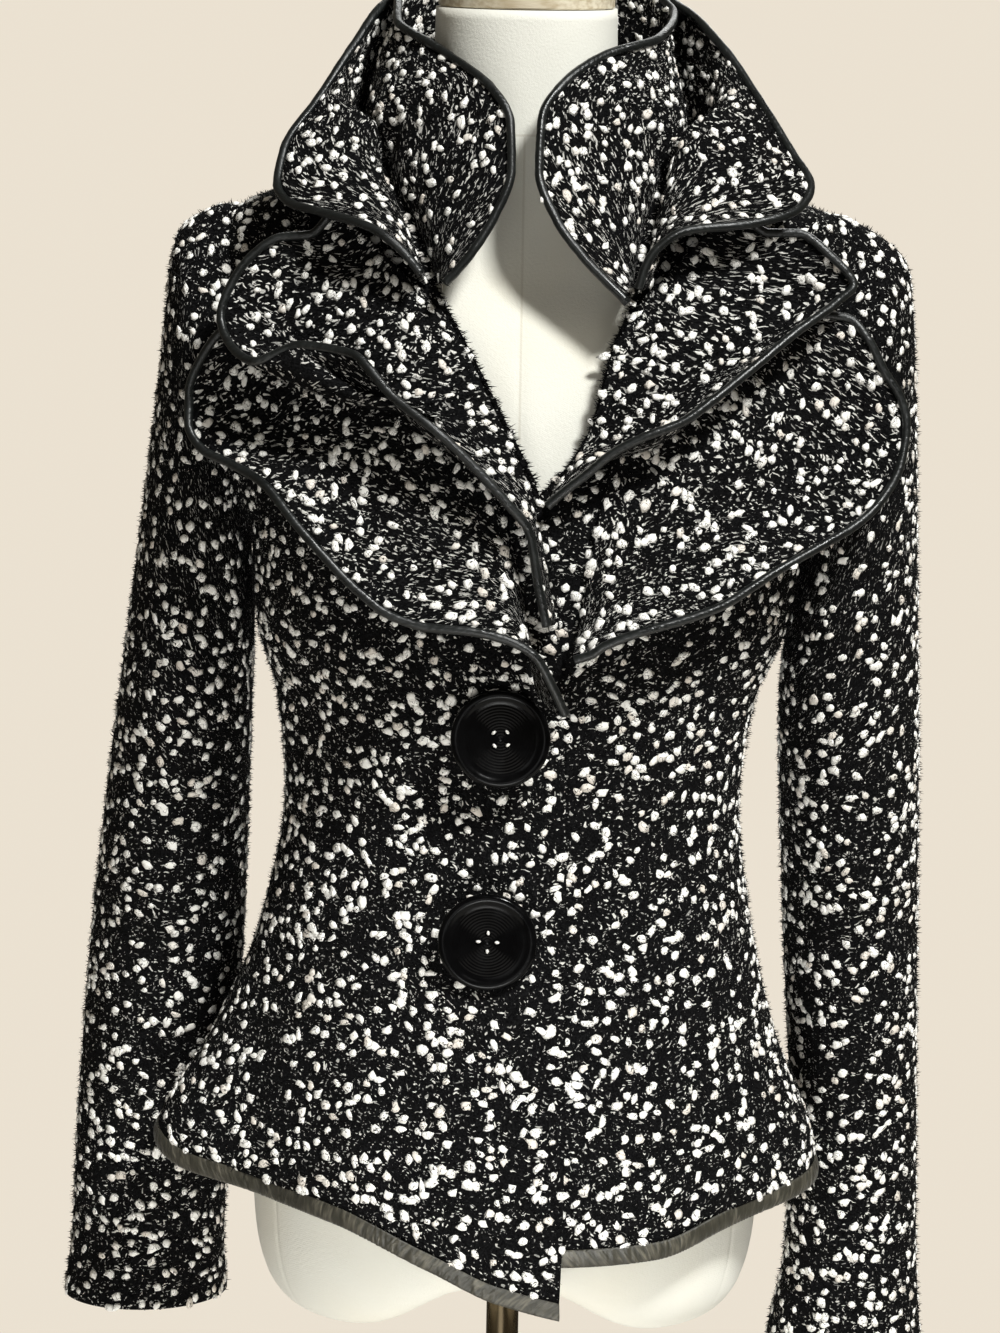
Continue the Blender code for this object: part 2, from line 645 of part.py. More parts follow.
def build_panels(boucle, satin):
    """The two fronts and the back, each with its bound hem under it."""
    rows = len(PANEL_ROWS) - 1
    for side, word in ((RIGHT, "right"), (LEFT, "left")):
        low, high = edge_angle(side, 830), 90 - SEAM_ANGLE

        def panel(u, v):
            return front_point(side, u, round(v * rows))

        def band(u, v):
            return hem_point(side, mix(low, high, u), mix(HEM_BAND, HEM_GAP, v))

        cloth(f"front_{word}", grid(panel, FRONT_COLUMNS, rows, flip=side == RIGHT), boucle)
        cloth(f"hem_{word}", grid(band, FRONT_COLUMNS, 1, flip=side == RIGHT), satin)

    def back_panel(u, v):
        return back_point(u, round(v * rows))

    def back_band(u, v):
        side = RIGHT if u < 0.5 else LEFT
        angle = 180 - abs(2 * u - 1) * (90 - SEAM_ANGLE)
        return hem_point(side, angle, mix(HEM_BAND, HEM_GAP, v))

    cloth("back", grid(back_panel, BACK_COLUMNS, rows, flip=True), boucle)
    cloth("hem_back", grid(back_band, BACK_COLUMNS, 1, flip=True), satin)


def build_sleeves(boucle):
    """The two sleeves, open tubes from the armhole to the cuff."""
    for side, rows, word in ((RIGHT, SLEEVE_RIGHT, "right"), (LEFT, SLEEVE_LEFT, "left")):
        table = Table([(i,) + row[1:] for i, row in enumerate(rows)], SLEEVE_KEYS)

        def tube(u, v):
            return sleeve_point(side, rows, table, u, v)

        cloth(f"sleeve_{word}", grid(tube, SLEEVE_SIDES, SLEEVE_ROWS, flip=side == RIGHT,
                                     closed=True), boucle)


def build_tiers(boucle, satin):
    """The two tiers of the collar and the two lapels of each front, with their bound edges."""
    collars = (("inner", COLLAR_INNER_RIGHT, COLLAR_INNER_LEFT, 0.45, -1.2, True),
               ("outer", COLLAR_OUTER_RIGHT, COLLAR_OUTER_LEFT, -1.0, 3.4, False))
    for word, right, left, inward, out, flip in collars:
        surface = Collar(right, left, inward, out)
        cloth(f"collar_{word}", grid(surface.point, COLLAR_STEPS, LEAF_ROWS, flip=flip), boucle)
        piping(f"piping_collar_{word}", surface, COLLAR_STEPS, satin)
    lapels = (("upper_right", RIGHT, UPPER_RIGHT, UPPER_CLEAR),
              ("upper_left", LEFT, UPPER_LEFT, UPPER_CLEAR),
              ("lower_right", RIGHT, LOWER_RIGHT, LOWER_CLEAR),
              ("lower_left", LEFT, LOWER_LEFT, LOWER_CLEAR))
    for word, side, rows, clear in lapels:
        surface = Lapel(side, rows, LAPEL_OUT, clear)
        leaf = grid(surface.point, LAPEL_STEPS, LEAF_ROWS, flip=side == RIGHT)
        cloth(f"lapel_{word}", leaf, boucle)
        piping(f"piping_{word}", surface, LAPEL_STEPS, satin)


def build_form():
    """The limbless form with its wooden cap, on a pole and a round plate."""
    cover = material("form cover", (0.86, 0.82, 0.75), 0.85)
    wood = material("cap wood", (0.55, 0.38, 0.22), 0.5)
    steel = material("pole steel", (0.62, 0.56, 0.48), 0.25, 1.0)
    paint = material("base paint", (0.08, 0.08, 0.08), 0.45)
    loft("form_torso", [form_ring(row) for row in FORM], cover)
    top = FORM[-1]
    low, high = top[1] + SEAM, top[1] + CAP_HEIGHT
    cap_rows = ((low, 0.0), (high - CAP_ROUND, 0.0), (high - 1.8, 1.8), (high, CAP_ROUND))
    loft("form_cap", [form_ring(("cap", z, top[2] - inset, top[3] - inset, top[4] - inset, 0.0))
                      for z, inset in cap_rows], wood)
    under = FORM[0][1] + FORM_ARCH - SEAM
    disc("stand_pole", POLE_RADIUS, BASE_HEIGHT + SEAM, under, 0, POLE_SIDES, steel)
    disc("stand_base", BASE_RADIUS, 0, BASE_HEIGHT, BASE_ROUND, BASE_SIDES, paint)


def main():
    """Builds every piece in turn."""
    for old in list(bpy.data.objects):
        bpy.data.objects.remove(old, do_unlink=True)
    boucle = material("boucle", (0.035, 0.035, 0.04), 0.95)
    satin = material("satin", (0.03, 0.032, 0.03), 0.4)
    gloss = material("button", (0.006, 0.006, 0.007), 0.12)
    build_form()
    build_panels(boucle, satin)
    build_sleeves(boucle)
    build_tiers(boucle, satin)
    for name, across, height, turn in BUTTONS:
        button(name, across, height, turn, gloss)


main()
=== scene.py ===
"""Looks of a black and cream boucle blazer with tiered collar and lapels on a dress form.

Tables are in millimetres and degrees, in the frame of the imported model: +Z up, the front
facing -Y, the wearer's right at -X. Every piece keeps its place in its mesh, in metres.
"""
import logging
import math
from dataclasses import dataclass, field
from enum import Enum
from typing import Callable, Sequence

import bmesh
import bpy
import numpy as np
from mathutils import Matrix, Vector
from mathutils.bvhtree import BVHTree


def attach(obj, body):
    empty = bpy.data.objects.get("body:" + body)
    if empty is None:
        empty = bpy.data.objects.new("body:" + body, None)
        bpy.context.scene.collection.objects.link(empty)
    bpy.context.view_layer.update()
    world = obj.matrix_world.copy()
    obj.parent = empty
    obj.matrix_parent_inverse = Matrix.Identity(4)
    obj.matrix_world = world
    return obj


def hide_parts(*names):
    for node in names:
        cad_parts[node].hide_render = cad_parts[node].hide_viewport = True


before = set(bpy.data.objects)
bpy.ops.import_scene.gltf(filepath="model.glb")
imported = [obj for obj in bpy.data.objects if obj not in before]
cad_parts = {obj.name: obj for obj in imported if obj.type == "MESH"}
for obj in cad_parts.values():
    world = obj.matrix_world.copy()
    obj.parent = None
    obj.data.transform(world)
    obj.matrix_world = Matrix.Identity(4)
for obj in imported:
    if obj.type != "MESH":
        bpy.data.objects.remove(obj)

LOG = logging.getLogger("blazer")
MM = 0.001
CLOTH = 2.4
NECK_SEAM = 1430.0
TURNED_SIDES = 96
TARGET = (-0.008, 0.0, 1.136)
WEAVE_MAP = "Weave"
BAKE_MAP = "OFBake"
Array = np.ndarray
Rows = tuple[tuple[float, ...], ...]


class Side(Enum):
    """The wearer's side, as the sign of X."""

    RIGHT = -1
    LEFT = 1

    @property
    def word(self) -> str:
        """The side's name as nodes have it."""
        return self.name.lower()


class Held(Enum):
    """How a sheet of cloth is held."""

    HUNG = "hung"
    GATHERED = "gathered"
    FOLDED = "folded"


# Curves through tables


class Curve:
    """A smooth curve through table rows that never swings past them."""

    def __init__(self, keys: Sequence[float], values: Sequence[float]) -> None:
        """Works out the slopes.

        Args:
            keys: Rising keys of the rows.
            values: Value at each key.
        """
        self.keys = np.asarray(keys, float)
        self.values = np.asarray(values, float)
        rises = np.diff(self.values) / np.diff(self.keys)
        self.slopes = np.concatenate([rises[:1], np.zeros(len(rises) - 1), rises[-1:]])
        before, after = rises[:-1], rises[1:]
        same = before * after > 0
        mean = 2 * before * after / np.where(same, before + after, 1.0)
        self.slopes[1:-1] = np.where(same, mean, 0.0)

    def __call__(self, key: Array | float) -> Array:
        """Values on the curve.

        Args:
            key: Keys to read at.

        Returns:
            The value at each key, held at the ends.
        """
        key = np.clip(np.asarray(key, float), self.keys[0], self.keys[-1])
        low = np.clip(np.searchsorted(self.keys, key, side="right") - 1, 0, len(self.keys) - 2)
        width = self.keys[low + 1] - self.keys[low]
        share = (key - self.keys[low]) / width
        rest = 1 - share
        start = self.values[low] * (1 + 2 * share) + self.slopes[low] * width * share
        end = self.values[low + 1] * (3 - 2 * share) - self.slopes[low + 1] * width * rest
        return start * rest**2 + end * share**2


class Table:
    """Named columns over one key column."""

    def __init__(self, rows: Rows, names: Sequence[str]) -> None:
        """Makes a curve for each column.

        Args:
            rows: The table's rows, each starting with its key.
            names: Names of the columns after the key.
        """
        keys = [row[0] for row in rows]
        self.columns = {name: Curve(keys, [row[i] for row in rows]) for i, name in enumerate(names, 1)}

    def at(self, name: str, key: Array | float) -> Array:
        """Values of one column."""
        return self.columns[name](key)

    def row(self, key: Array | float) -> dict[str, Array]:
        """Values of every column."""
        return {name: curve(key) for name, curve in self.columns.items()}


def rows_at(rows: Rows, names: Sequence[str], share: Array) -> dict[str, Array]:
    """Values of every column on the way from the first row to the last.

    Args:
        rows: Rows without a key.
        names: Names of the columns.
        share: Share of the way.

    Returns:
        The values, by column.
    """
    counted = Table(tuple((i, *row) for i, row in enumerate(rows)), names)
    return counted.row(share * (len(rows) - 1))


def mix(a: Array | float, b: Array | float, share: Array | float) -> Array:
    """Value between a and b."""
    return a + (b - a) * share


def step(low: float, high: float, value: Array | float) -> Array:
    """Soft step from 0 at low to 1 at high."""
    share = np.clip((np.asarray(value, float) - low) / (high - low), 0, 1)
    return share * share * (3 - 2 * share)


def power(value: Array, exponent: float) -> Array:
    """Power that keeps the sign of the value."""
    return np.copysign(np.abs(value) ** exponent, value)


def unit(vectors: Array) -> Array:
    """Vectors of length one."""
    return vectors / np.maximum(np.linalg.norm(vectors, axis=-1, keepdims=True), 1e-9)


def columns(*parts: Array | float) -> Array:
    """Stacks coordinates into points."""
    return np.stack(np.broadcast_arrays(*parts), axis=-1)


# Shape of the body under every piece of cloth


@dataclass(frozen=True)
class Figure:
    """Outer face of the cloth round the body, with the cut edges and the hem.

    The rings give height, half width, depth to the front and to the back, sideways shift, and
    how far the flute of the peplum stands out on the right and on the left.
    """

    roundness: float = 2.25
    seam_angle: float = 0.14
    lap_lift: float = 4.6
    lap_from: float = 48.0
    lap_full: float = 24.0
    flute_at: float = 80.0
    flute_width: float = 16.0
    underarm: float = 1202.0
    shoulder_tip: float = 1378.0
    armhole_angle: float = 28.0
    neck_top: float = 1410.0
    skirt_level: float = 830.0
    rings: Rows = (
        (780, 156, 152, 142, -2, 46, 28), (880, 150, 140, 134, -2, 43, 23),
        (940, 141, 121, 118, -2, 19, 9), (1000, 132, 106, 102, -1, 4, 2),
        (1065, 125, 98, 92, 0, 0, 0), (1120, 131, 106, 95, 1, 0, 0),
        (1165, 146, 117, 100, 3.5, 0, 0), (1215, 152, 122, 104, 6.5, 0, 0),
        (1275, 160, 112, 106, 8, 0, 0), (1325, 168, 94, 102, 8, 0, 0),
        (1362, 172, 70, 88, 8, 0, 0), (1384, 164, 58, 78, 7, 0, 0),
        (1400, 126, 54, 70, 3, 0, 0), (1416, 78, 52, 66, 0, 0, 0),
    )
    edge_right: Rows = (
        (780, 27), (880, 30), (1030, 29), (1126, 26), (1175, 23), (1246, 11), (1280, -5),
        (1321, -27), (1352, -45), (1382, -58), (1410, -74),
    )
    edge_left: Rows = (
        (780, -26), (1100, -26), (1175, -18), (1246, 11), (1257, 22), (1281, 37), (1322, 48),
        (1345, 58), (1382, 66), (1410, 75),
    )
    hem_right: Rows = (
        (-16, 812), (-2, 823), (12, 842), (32, 861), (52, 866), (70, 873), (82, 885), (96, 890),
        (130, 880), (180, 874),
    )
    hem_left: Rows = (
        (-16, 845), (12, 844), (30, 845), (48, 854), (66, 861), (82, 870), (96, 880),
        (130, 878), (180, 874),
    )

    def __post_init__(self) -> None:
        """Reads the tables into curves."""
        names = ("half", "front", "back", "shift", "flute_right", "flute_left")
        object.__setattr__(self, "table", Table(self.rings, names))
        edges = {-1: Table(self.edge_right, ("x",)), 1: Table(self.edge_left, ("x",))}
        hems = {-1: Table(self.hem_right, ("z",)), 1: Table(self.hem_left, ("z",))}
        object.__setattr__(self, "edges", edges)
        object.__setattr__(self, "hems", hems)

    def ring(self, half: Array, front: Array, back: Array, angle: Array) -> tuple[Array, ...]:
        """Points of a ring and their outward direction, angle 0 at the front.

        Args:
            half: Half width.
            front: Depth to the front.
            back: Depth to the back.
            angle: Angle from the front.

        Returns:
            X, Y, outward X and outward Y.
        """
        sine, cosine = np.sin(np.radians(angle)), np.cos(np.radians(angle))
        depth = np.where(cosine > 0, front, back)
        across = power(sine, 2 / self.roundness)
        along = -power(cosine, 2 / self.roundness)
        out_x = power(across, self.roundness - 1) / half
        out_y = power(along, self.roundness - 1) / depth
        length = np.hypot(out_x, out_y)
        return half * across, depth * along, out_x / length, out_y / length

    def point(self, side: Array | float, angle: Array, z: Array, out: Array | float = 0.0) -> Array:
        """Points on the cloth.

        Args:
            side: Sign of the wearer's side.
            angle: Angle from the middle of the front.
            z: Height.
            out: Distance off the outer face.

        Returns:
            The points, in millimetres.
        """
        row = self.table.row(z)
        x, y, out_x, out_y = self.ring(row["half"], row["front"], row["back"], angle)
        bump = np.exp(-(((angle - self.flute_at) / self.flute_width) ** 2))
        move = np.where(np.asarray(side) < 0, row["flute_right"], row["flute_left"]) * bump + out
        return columns(row["shift"] + side * (x + out_x * move), y + out_y * move, z)

    def angle_at(self, side: float, x: Array, z: Array) -> Array:
        """Angle of a ring where it crosses x, at the front.

        Args:
            side: Sign of the wearer's side.
            x: Place across.
            z: Height.

        Returns:
            The angle from the middle of the front.
        """
        across = side * (x - self.table.at("shift", z)) / self.table.at("half", z)
        sine = power(across, self.roundness / 2)
        return np.degrees(np.arcsin(np.clip(sine, -0.99, 0.99)))

    def edge_angle(self, side: float, z: Array) -> Array:
        """Angle of the cut edge of a front."""
        return self.angle_at(side, self.edges[int(side)].at("x", z), z)

    def lap(self, side: float, angle: Array) -> Array:
        """How far the right front stands out where it laps the left one."""
        return self.lap_lift * step(self.lap_from, self.lap_full, angle) * float(side < 0)

    @property
    def arm_middle(self) -> float:
        """Height of the middle of the armhole."""
        return (self.shoulder_tip + self.underarm) / 2

    @property
    def arm_reach(self) -> float:
        """Half the height of the armhole."""
        return (self.shoulder_tip - self.underarm) / 2

    def armhole_reach(self, z: Array) -> Array:
        """Half the angle that the armhole takes at a height."""
        share = (z - self.arm_middle) / self.arm_reach
        return self.armhole_angle * np.sqrt(np.maximum(0.0, 1 - share**2))

    def level(self, v: Array, skirt: float = 0.62, arm: float = 0.92) -> tuple[Array, Array]:
        """Height of a panel's row, and its share of the skirt.

        Args:
            v: Share of the panel from hem to neck.
            skirt: Share at the underarm.
            arm: Share at the shoulder tip.

        Returns:
            Height for rows above the underarm, and the share of the skirt for those below it.
        """
        turn = np.pi * np.clip((v - skirt) / (arm - skirt), 0, 1)
        top = np.clip((v - arm) / (1 - arm), 0, 1)
        z = self.arm_middle - self.arm_reach * np.cos(turn) + top * (self.neck_top - self.shoulder_tip)
        return z, np.clip(v / skirt, 0, 1)

    def hem(self, side: float, angle: Array, drop: Array) -> Array:
        """Points of the hem, drop under the edge of the panel."""
        z = self.hems[int(side)].at("z", angle) - drop
        return self.point(side, angle, z, self.lap(side, angle))


FIGURE = Figure()


# Finishes


class Nodes:
    """Adds and links nodes of one tree."""

    def __init__(self, tree: bpy.types.NodeTree) -> None:
        """Keeps the tree."""
        self.tree = tree

    def add(self, kind: str, inputs: dict | None = None, **settings: object) -> bpy.types.Node:
        """Adds a node.

        Args:
            kind: The node's type.
            inputs: Value or output socket for each input, by name or place.
            settings: The node's own settings.

        Returns:
            The node.
        """
        made = self.tree.nodes.new(kind)
        for name, value in settings.items():
            setattr(made, name, value)
        for key, value in (inputs or {}).items():
            if isinstance(value, bpy.types.NodeSocket):
                self.tree.links.new(value, made.inputs[key])
            else:
                made.inputs[key].default_value = value
        return made

    def math(self, operation: str, *values: object, clamp: bool = False) -> bpy.types.NodeSocket:
        """Adds a Math node and returns its value."""
        inputs = dict(enumerate(values))
        return self.add("ShaderNodeMath", inputs, operation=operation, use_clamp=clamp).outputs[0]

    def vector(self, operation: str, *values: object) -> bpy.types.NodeSocket:
        """Adds a Vector Math node and returns its vector."""
        inputs = dict(enumerate(values))
        return self.add("ShaderNodeVectorMath", inputs, operation=operation).outputs[0]

    def feed(self, value: bpy.types.NodeSocket, shader: bpy.types.Node, name: str = "Base Color") -> None:
        """Links a value to one input of a shader."""
        self.tree.links.new(value, shader.inputs[name])

    def blend(self, factor: object, a: object, b: object) -> bpy.types.NodeSocket:
        """Adds a colour Mix node and returns its colour."""
        made = self.add("ShaderNodeMix", {0: factor, 6: a, 7: b}, data_type="RGBA")
        return made.outputs[2]

    def span(self, value: object, low: float, high: float, to_low: float = 0.0,
             to_high: float = 1.0) -> bpy.types.NodeSocket:
        """Adds a soft Map Range node and returns its value."""
        inputs = {"Value": value, "From Min": low, "From Max": high, "To Min": to_low, "To Max": to_high}
        return self.add("ShaderNodeMapRange", inputs, interpolation_type="SMOOTHSTEP").outputs[0]

    def noise(self, place: object, scale: float, detail: float = 2.0,
              output: str = "Fac") -> bpy.types.NodeSocket:
        """Adds a Noise texture and returns one output."""
        inputs = {"Vector": place, "Scale": scale, "Detail": detail}
        return self.add("ShaderNodeTexNoise", inputs).outputs[output]


def colour(red: float, green: float, blue: float) -> tuple[float, float, float, float]:
    """An opaque linear colour."""
    return (red, green, blue, 1.0)


def fibre_group() -> bpy.types.NodeTree:
    """Node group of fine tangled fibres, shared by every cloth finish.

    Returns:
        A group that takes a place and a scale and puts out a value from 0 to 1.
    """
    name = "tangled fibres"
    if name in bpy.data.node_groups:
        return bpy.data.node_groups[name]
    tree = bpy.data.node_groups.new(name, "ShaderNodeTree")
    tree.interface.new_socket("Place", in_out="INPUT", socket_type="NodeSocketVector")
    tree.interface.new_socket("Scale", in_out="INPUT", socket_type="NodeSocketFloat")
    tree.interface.new_socket("Fibre", in_out="OUTPUT", socket_type="NodeSocketFloat")
    nodes = Nodes(tree)
    inside = nodes.add("NodeGroupInput")
    wander = nodes.add("ShaderNodeTexNoise", {"Vector": inside.outputs[0], "Scale": 60.0})
    drift = {0: wander.outputs["Color"], "Scale": 0.006}
    moved = nodes.add("ShaderNodeVectorMath", drift, operation="SCALE")
    bent = nodes.vector("ADD", inside.outputs[0], moved.outputs[0])
    tangle = {"Vector": bent, "Scale": inside.outputs[1], "Detail": 4.0, "Roughness": 0.65}
    fine = nodes.add("ShaderNodeTexNoise", tangle)
    out = nodes.add("NodeGroupOutput")
    tree.links.new(nodes.span(fine.outputs["Fac"], 0.35, 0.65), out.inputs[0])
    return tree


@dataclass(frozen=True)
class Finish:
    """A surface finish. Constant values sit on the shader's own sockets."""

    name: str
    base: tuple[float, float, float, float]
    roughness: float = 0.6
    metallic: float = 0.0
    sheen: float = 0.0
    specular: float = 0.5

    def start(self) -> tuple[bpy.types.Material, Nodes, bpy.types.Node]:
        """Makes the material with its constant values.

        Returns:
            The material, its nodes and its shader.
        """
        made = bpy.data.materials.new(self.name)
        made.use_nodes = True
        shader = made.node_tree.nodes["Principled BSDF"]
        shader.inputs["Base Color"].default_value = self.base
        shader.inputs["Roughness"].default_value = self.roughness
        shader.inputs["Metallic"].default_value = self.metallic
        shader.inputs["Sheen Weight"].default_value = self.sheen
        shader.inputs["Sheen Roughness"].default_value = 0.4
        shader.inputs["Specular IOR Level"].default_value = self.specular
        return made, Nodes(made.node_tree), shader

    def place(self, nodes: Nodes) -> bpy.types.NodeSocket:
        """Object coordinates."""
        return nodes.add("ShaderNodeTexCoord").outputs["Object"]

    def bump(self, nodes: Nodes, shader: bpy.types.Node, height: bpy.types.NodeSocket,
             distance: float, strength: float) -> None:
        """Feeds a height into the shader's normal.

        Args:
            nodes: The material's nodes.
            shader: Its shader.
            height: The height, from 0 to 1.
            distance: Depth of the relief, in metres.
            strength: How much of it shows.
        """
        inputs = {"Height": height, "Distance": distance, "Strength": strength}
        nodes.feed(nodes.add("ShaderNodeBump", inputs).outputs[0], shader, "Normal")

    def fibres(self, nodes: Nodes, place: object, scale: float) -> bpy.types.NodeSocket:
        """Places the shared fibre group and returns its value."""
        made = nodes.add("ShaderNodeGroup", {"Place": place, "Scale": scale}, node_tree=fibre_group())
        return made.outputs["Fibre"]


@dataclass(frozen=True)
class BoucleFinish(Finish):
    """Black loop yarn with short cream slubs along the weft, and painted shade in the low parts of its
    tangled fibres.
    """

    slub: tuple[float, float, float, float] = colour(0.90, 0.88, 0.83)
    layers: tuple[tuple[float, float, float, float], ...] = (
        (0.0046, 0.0020, 0.52, 0.6), (0.0030, 0.0014, 0.57, 0.6), (0.0017, 0.0038, 0.67, 0.66),
    )
    layer_shift: tuple[float, float] = (0.37, 0.21)
    wanders: tuple[tuple[float, float], ...] = ((70.0, 0.012), (420.0, 0.0034))
    edge: float = 20.0
    fibre_scale: float = 900.0
    # Colour of the painted shade in the low parts of the fibre relief.
    pit: tuple[float, float, float, float] = colour(0.0008, 0.0008, 0.001)

    def slubs(self, nodes: Nodes, weave: bpy.types.NodeSocket) -> bpy.types.NodeSocket:
        """Mask of the slubs, one layer of random spots for each row of sizes.

        Args:
            nodes: The material's nodes.
            weave: Place on the cloth, in metres.

        Returns:
            The mask, from 0 to the brightness of each slub.
        """
        total = None
        for i, (wide, tall, bare, size) in enumerate(self.layers):
            moved = nodes.vector("ADD", weave, (self.layer_shift[0] * i, self.layer_shift[1] * i, 0.0))
            for scale, reach in self.wanders:
                wander = nodes.vector("SUBTRACT", nodes.noise(moved, scale, 2.0, "Color"), (0.5, 0.5, 0.5))
                moved = nodes.vector("MULTIPLY_ADD", wander, (reach, reach, 0.0), moved)
            cells = nodes.vector("MULTIPLY", moved, (1 / wide, 1 / tall, 1.0))
            spots = nodes.add("ShaderNodeTexVoronoi", {"Vector": cells, "Scale": 1.0},
                              voronoi_dimensions="2D")
            chance = nodes.add("ShaderNodeSeparateColor", {0: spots.outputs["Color"]})
            reach = nodes.math("MULTIPLY", nodes.math("SUBTRACT", chance.outputs[0], bare), size)
            inside = nodes.math("SUBTRACT", reach, spots.outputs["Distance"])
            mask = nodes.math("MULTIPLY", inside, self.edge, clamp=True)
            shown = nodes.math("MULTIPLY", mask, nodes.span(chance.outputs[1], 0.0, 0.8, 0.4, 1.0))
            total = shown if total is None else nodes.math("MAXIMUM", total, shown)
        return total

    def build(self) -> bpy.types.Material:
        """Makes the material.

        Returns:
            The material, reading the piece's weave map in metres.
        """
        made, nodes, shader = self.start()
        weave = nodes.add("ShaderNodeUVMap", uv_map=WEAVE_MAP).outputs[0]
        slubs = self.slubs(nodes, weave)
        fibre = self.fibres(nodes, weave, self.fibre_scale)
        # Painted shade: the low parts of the fibre relief, which the bump also sinks, take the darker pit
        # colour.
        dark = nodes.blend(fibre, self.pit, self.base)
        nodes.feed(nodes.blend(slubs, dark, self.slub), shader)
        height = nodes.math("ADD", nodes.math("MULTIPLY", slubs, 0.8), nodes.math("MULTIPLY", fibre, 0.6))
        self.bump(nodes, shader, height, 0.0012, 0.9)
        return made


@dataclass(frozen=True)
class NubFinish(Finish):
    """Cream loops, with painted shade where they go down into the cloth and in thin clefts across them."""

    shade: tuple[float, float, float, float] = colour(0.74, 0.68, 0.61)
    # Width of the painted shade lines of the clefts across the nubs.
    strand: float = 0.014
    # Share of the rise over which the painted shade at the base fades out.
    sunk: float = 0.28
    # Colour of the painted shade at the base of the nubs and in their clefts.
    root: tuple[float, float, float, float] = colour(0.03, 0.027, 0.025)

    def build(self) -> bpy.types.Material:
        """Makes the material, reading each nub's tone and the rise of its surface.

        Returns:
            The material.
        """
        made, nodes, shader = self.start()
        tone = nodes.add("ShaderNodeAttribute", attribute_name="tone").outputs["Fac"]
        rise = nodes.add("ShaderNodeAttribute", attribute_name="rise").outputs["Fac"]
        place = self.place(nodes)
        fibre = self.fibres(nodes, place, 1300.0)
        cream = nodes.blend(nodes.span(tone, 0.0, 0.3), self.shade, self.base)
        worn = nodes.blend(nodes.math("MULTIPLY", fibre, 0.12), cream, self.shade)
        # Painted shade of clefts: thin lines where the noise is near its middle take the root colour.
        away = nodes.math("ABSOLUTE", nodes.math("SUBTRACT", nodes.noise(place, 210.0, 2.0), 0.5))
        clefts_shaded = nodes.blend(nodes.span(away, self.strand, self.strand * 0.4), worn, self.root)
        # Painted shade: each nub darkens to the root colour towards its base, where it meets the cloth.
        base_shaded = nodes.blend(nodes.span(rise, 0.0, self.sunk), self.root, clefts_shaded)
        nodes.feed(base_shaded, shader)
        self.bump(nodes, shader, fibre, 0.0004, 0.4)
        return made


@dataclass(frozen=True)
class FuzzFinish(Finish):
    """Loose black fibres that stand off the cloth."""

    def build(self) -> bpy.types.Material:
        """Makes the material.

        Returns:
            The material.
        """
        made, nodes, shader = self.start()
        shade = nodes.noise(self.place(nodes), 220.0)
        nodes.feed(nodes.blend(shade, colour(0.001, 0.001, 0.001), self.base), shader)
        return made


@dataclass(frozen=True)
class SatinFinish(Finish):
    """Dark satin binding, with small puckers across it and a painted sheen on their raised folds."""

    # Colour of the painted sheen on the raised puckers.
    light: tuple[float, float, float, float] = colour(0.075, 0.075, 0.065)
    pucker: float = 0.5

    def build(self) -> bpy.types.Material:
        """Makes the material, reading the weave map, U along the binding.

        Returns:
            The material.
        """
        made, nodes, shader = self.start()
        weave = nodes.add("ShaderNodeUVMap", uv_map=WEAVE_MAP).outputs[0]
        across = nodes.vector("MULTIPLY", weave, (1.0, 0.22, 1.0))
        folds = nodes.noise(across, 420.0, 2.0)
        patches = nodes.noise(weave, 55.0, 2.0)
        # Painted sheen: the colour turns light where the puckers rise, more so in some patches.
        tone = nodes.math("MULTIPLY", nodes.span(folds, 0.4, 0.7), nodes.span(patches, 0.3, 0.75))
        nodes.feed(nodes.blend(tone, self.base, self.light), shader)
        rough = nodes.span(patches, 0.2, 0.8, self.roughness - 0.08, self.roughness + 0.12)
        nodes.feed(rough, shader, "Roughness")
        rib = nodes.add("ShaderNodeTexWave", {"Vector": weave, "Scale": 900.0, "Distortion": 0.6},
                        bands_direction="DIAGONAL")
        height = nodes.math("ADD", folds, nodes.math("MULTIPLY", rib.outputs["Fac"], 0.06))
        self.bump(nodes, shader, height, 0.0008, self.pucker)
        return made


@dataclass(frozen=True)
class GlossFinish(Finish):
    """Polished black, with faint turning marks."""

    def build(self) -> bpy.types.Material:
        """Makes the material.

        Returns:
            The material.
        """
        made, nodes, shader = self.start()
        place = self.place(nodes)
        smear = nodes.noise(place, 130.0, 3.0)
        rough = nodes.span(smear, 0.3, 0.7, self.roughness * 0.7, self.roughness * 1.6)
        nodes.feed(rough, shader, "Roughness")
        nodes.feed(nodes.blend(smear, self.base, colour(0.0022, 0.0022, 0.0025)), shader)
        self.bump(nodes, shader, nodes.noise(place, 900.0), 0.0001, 0.25)
        return made


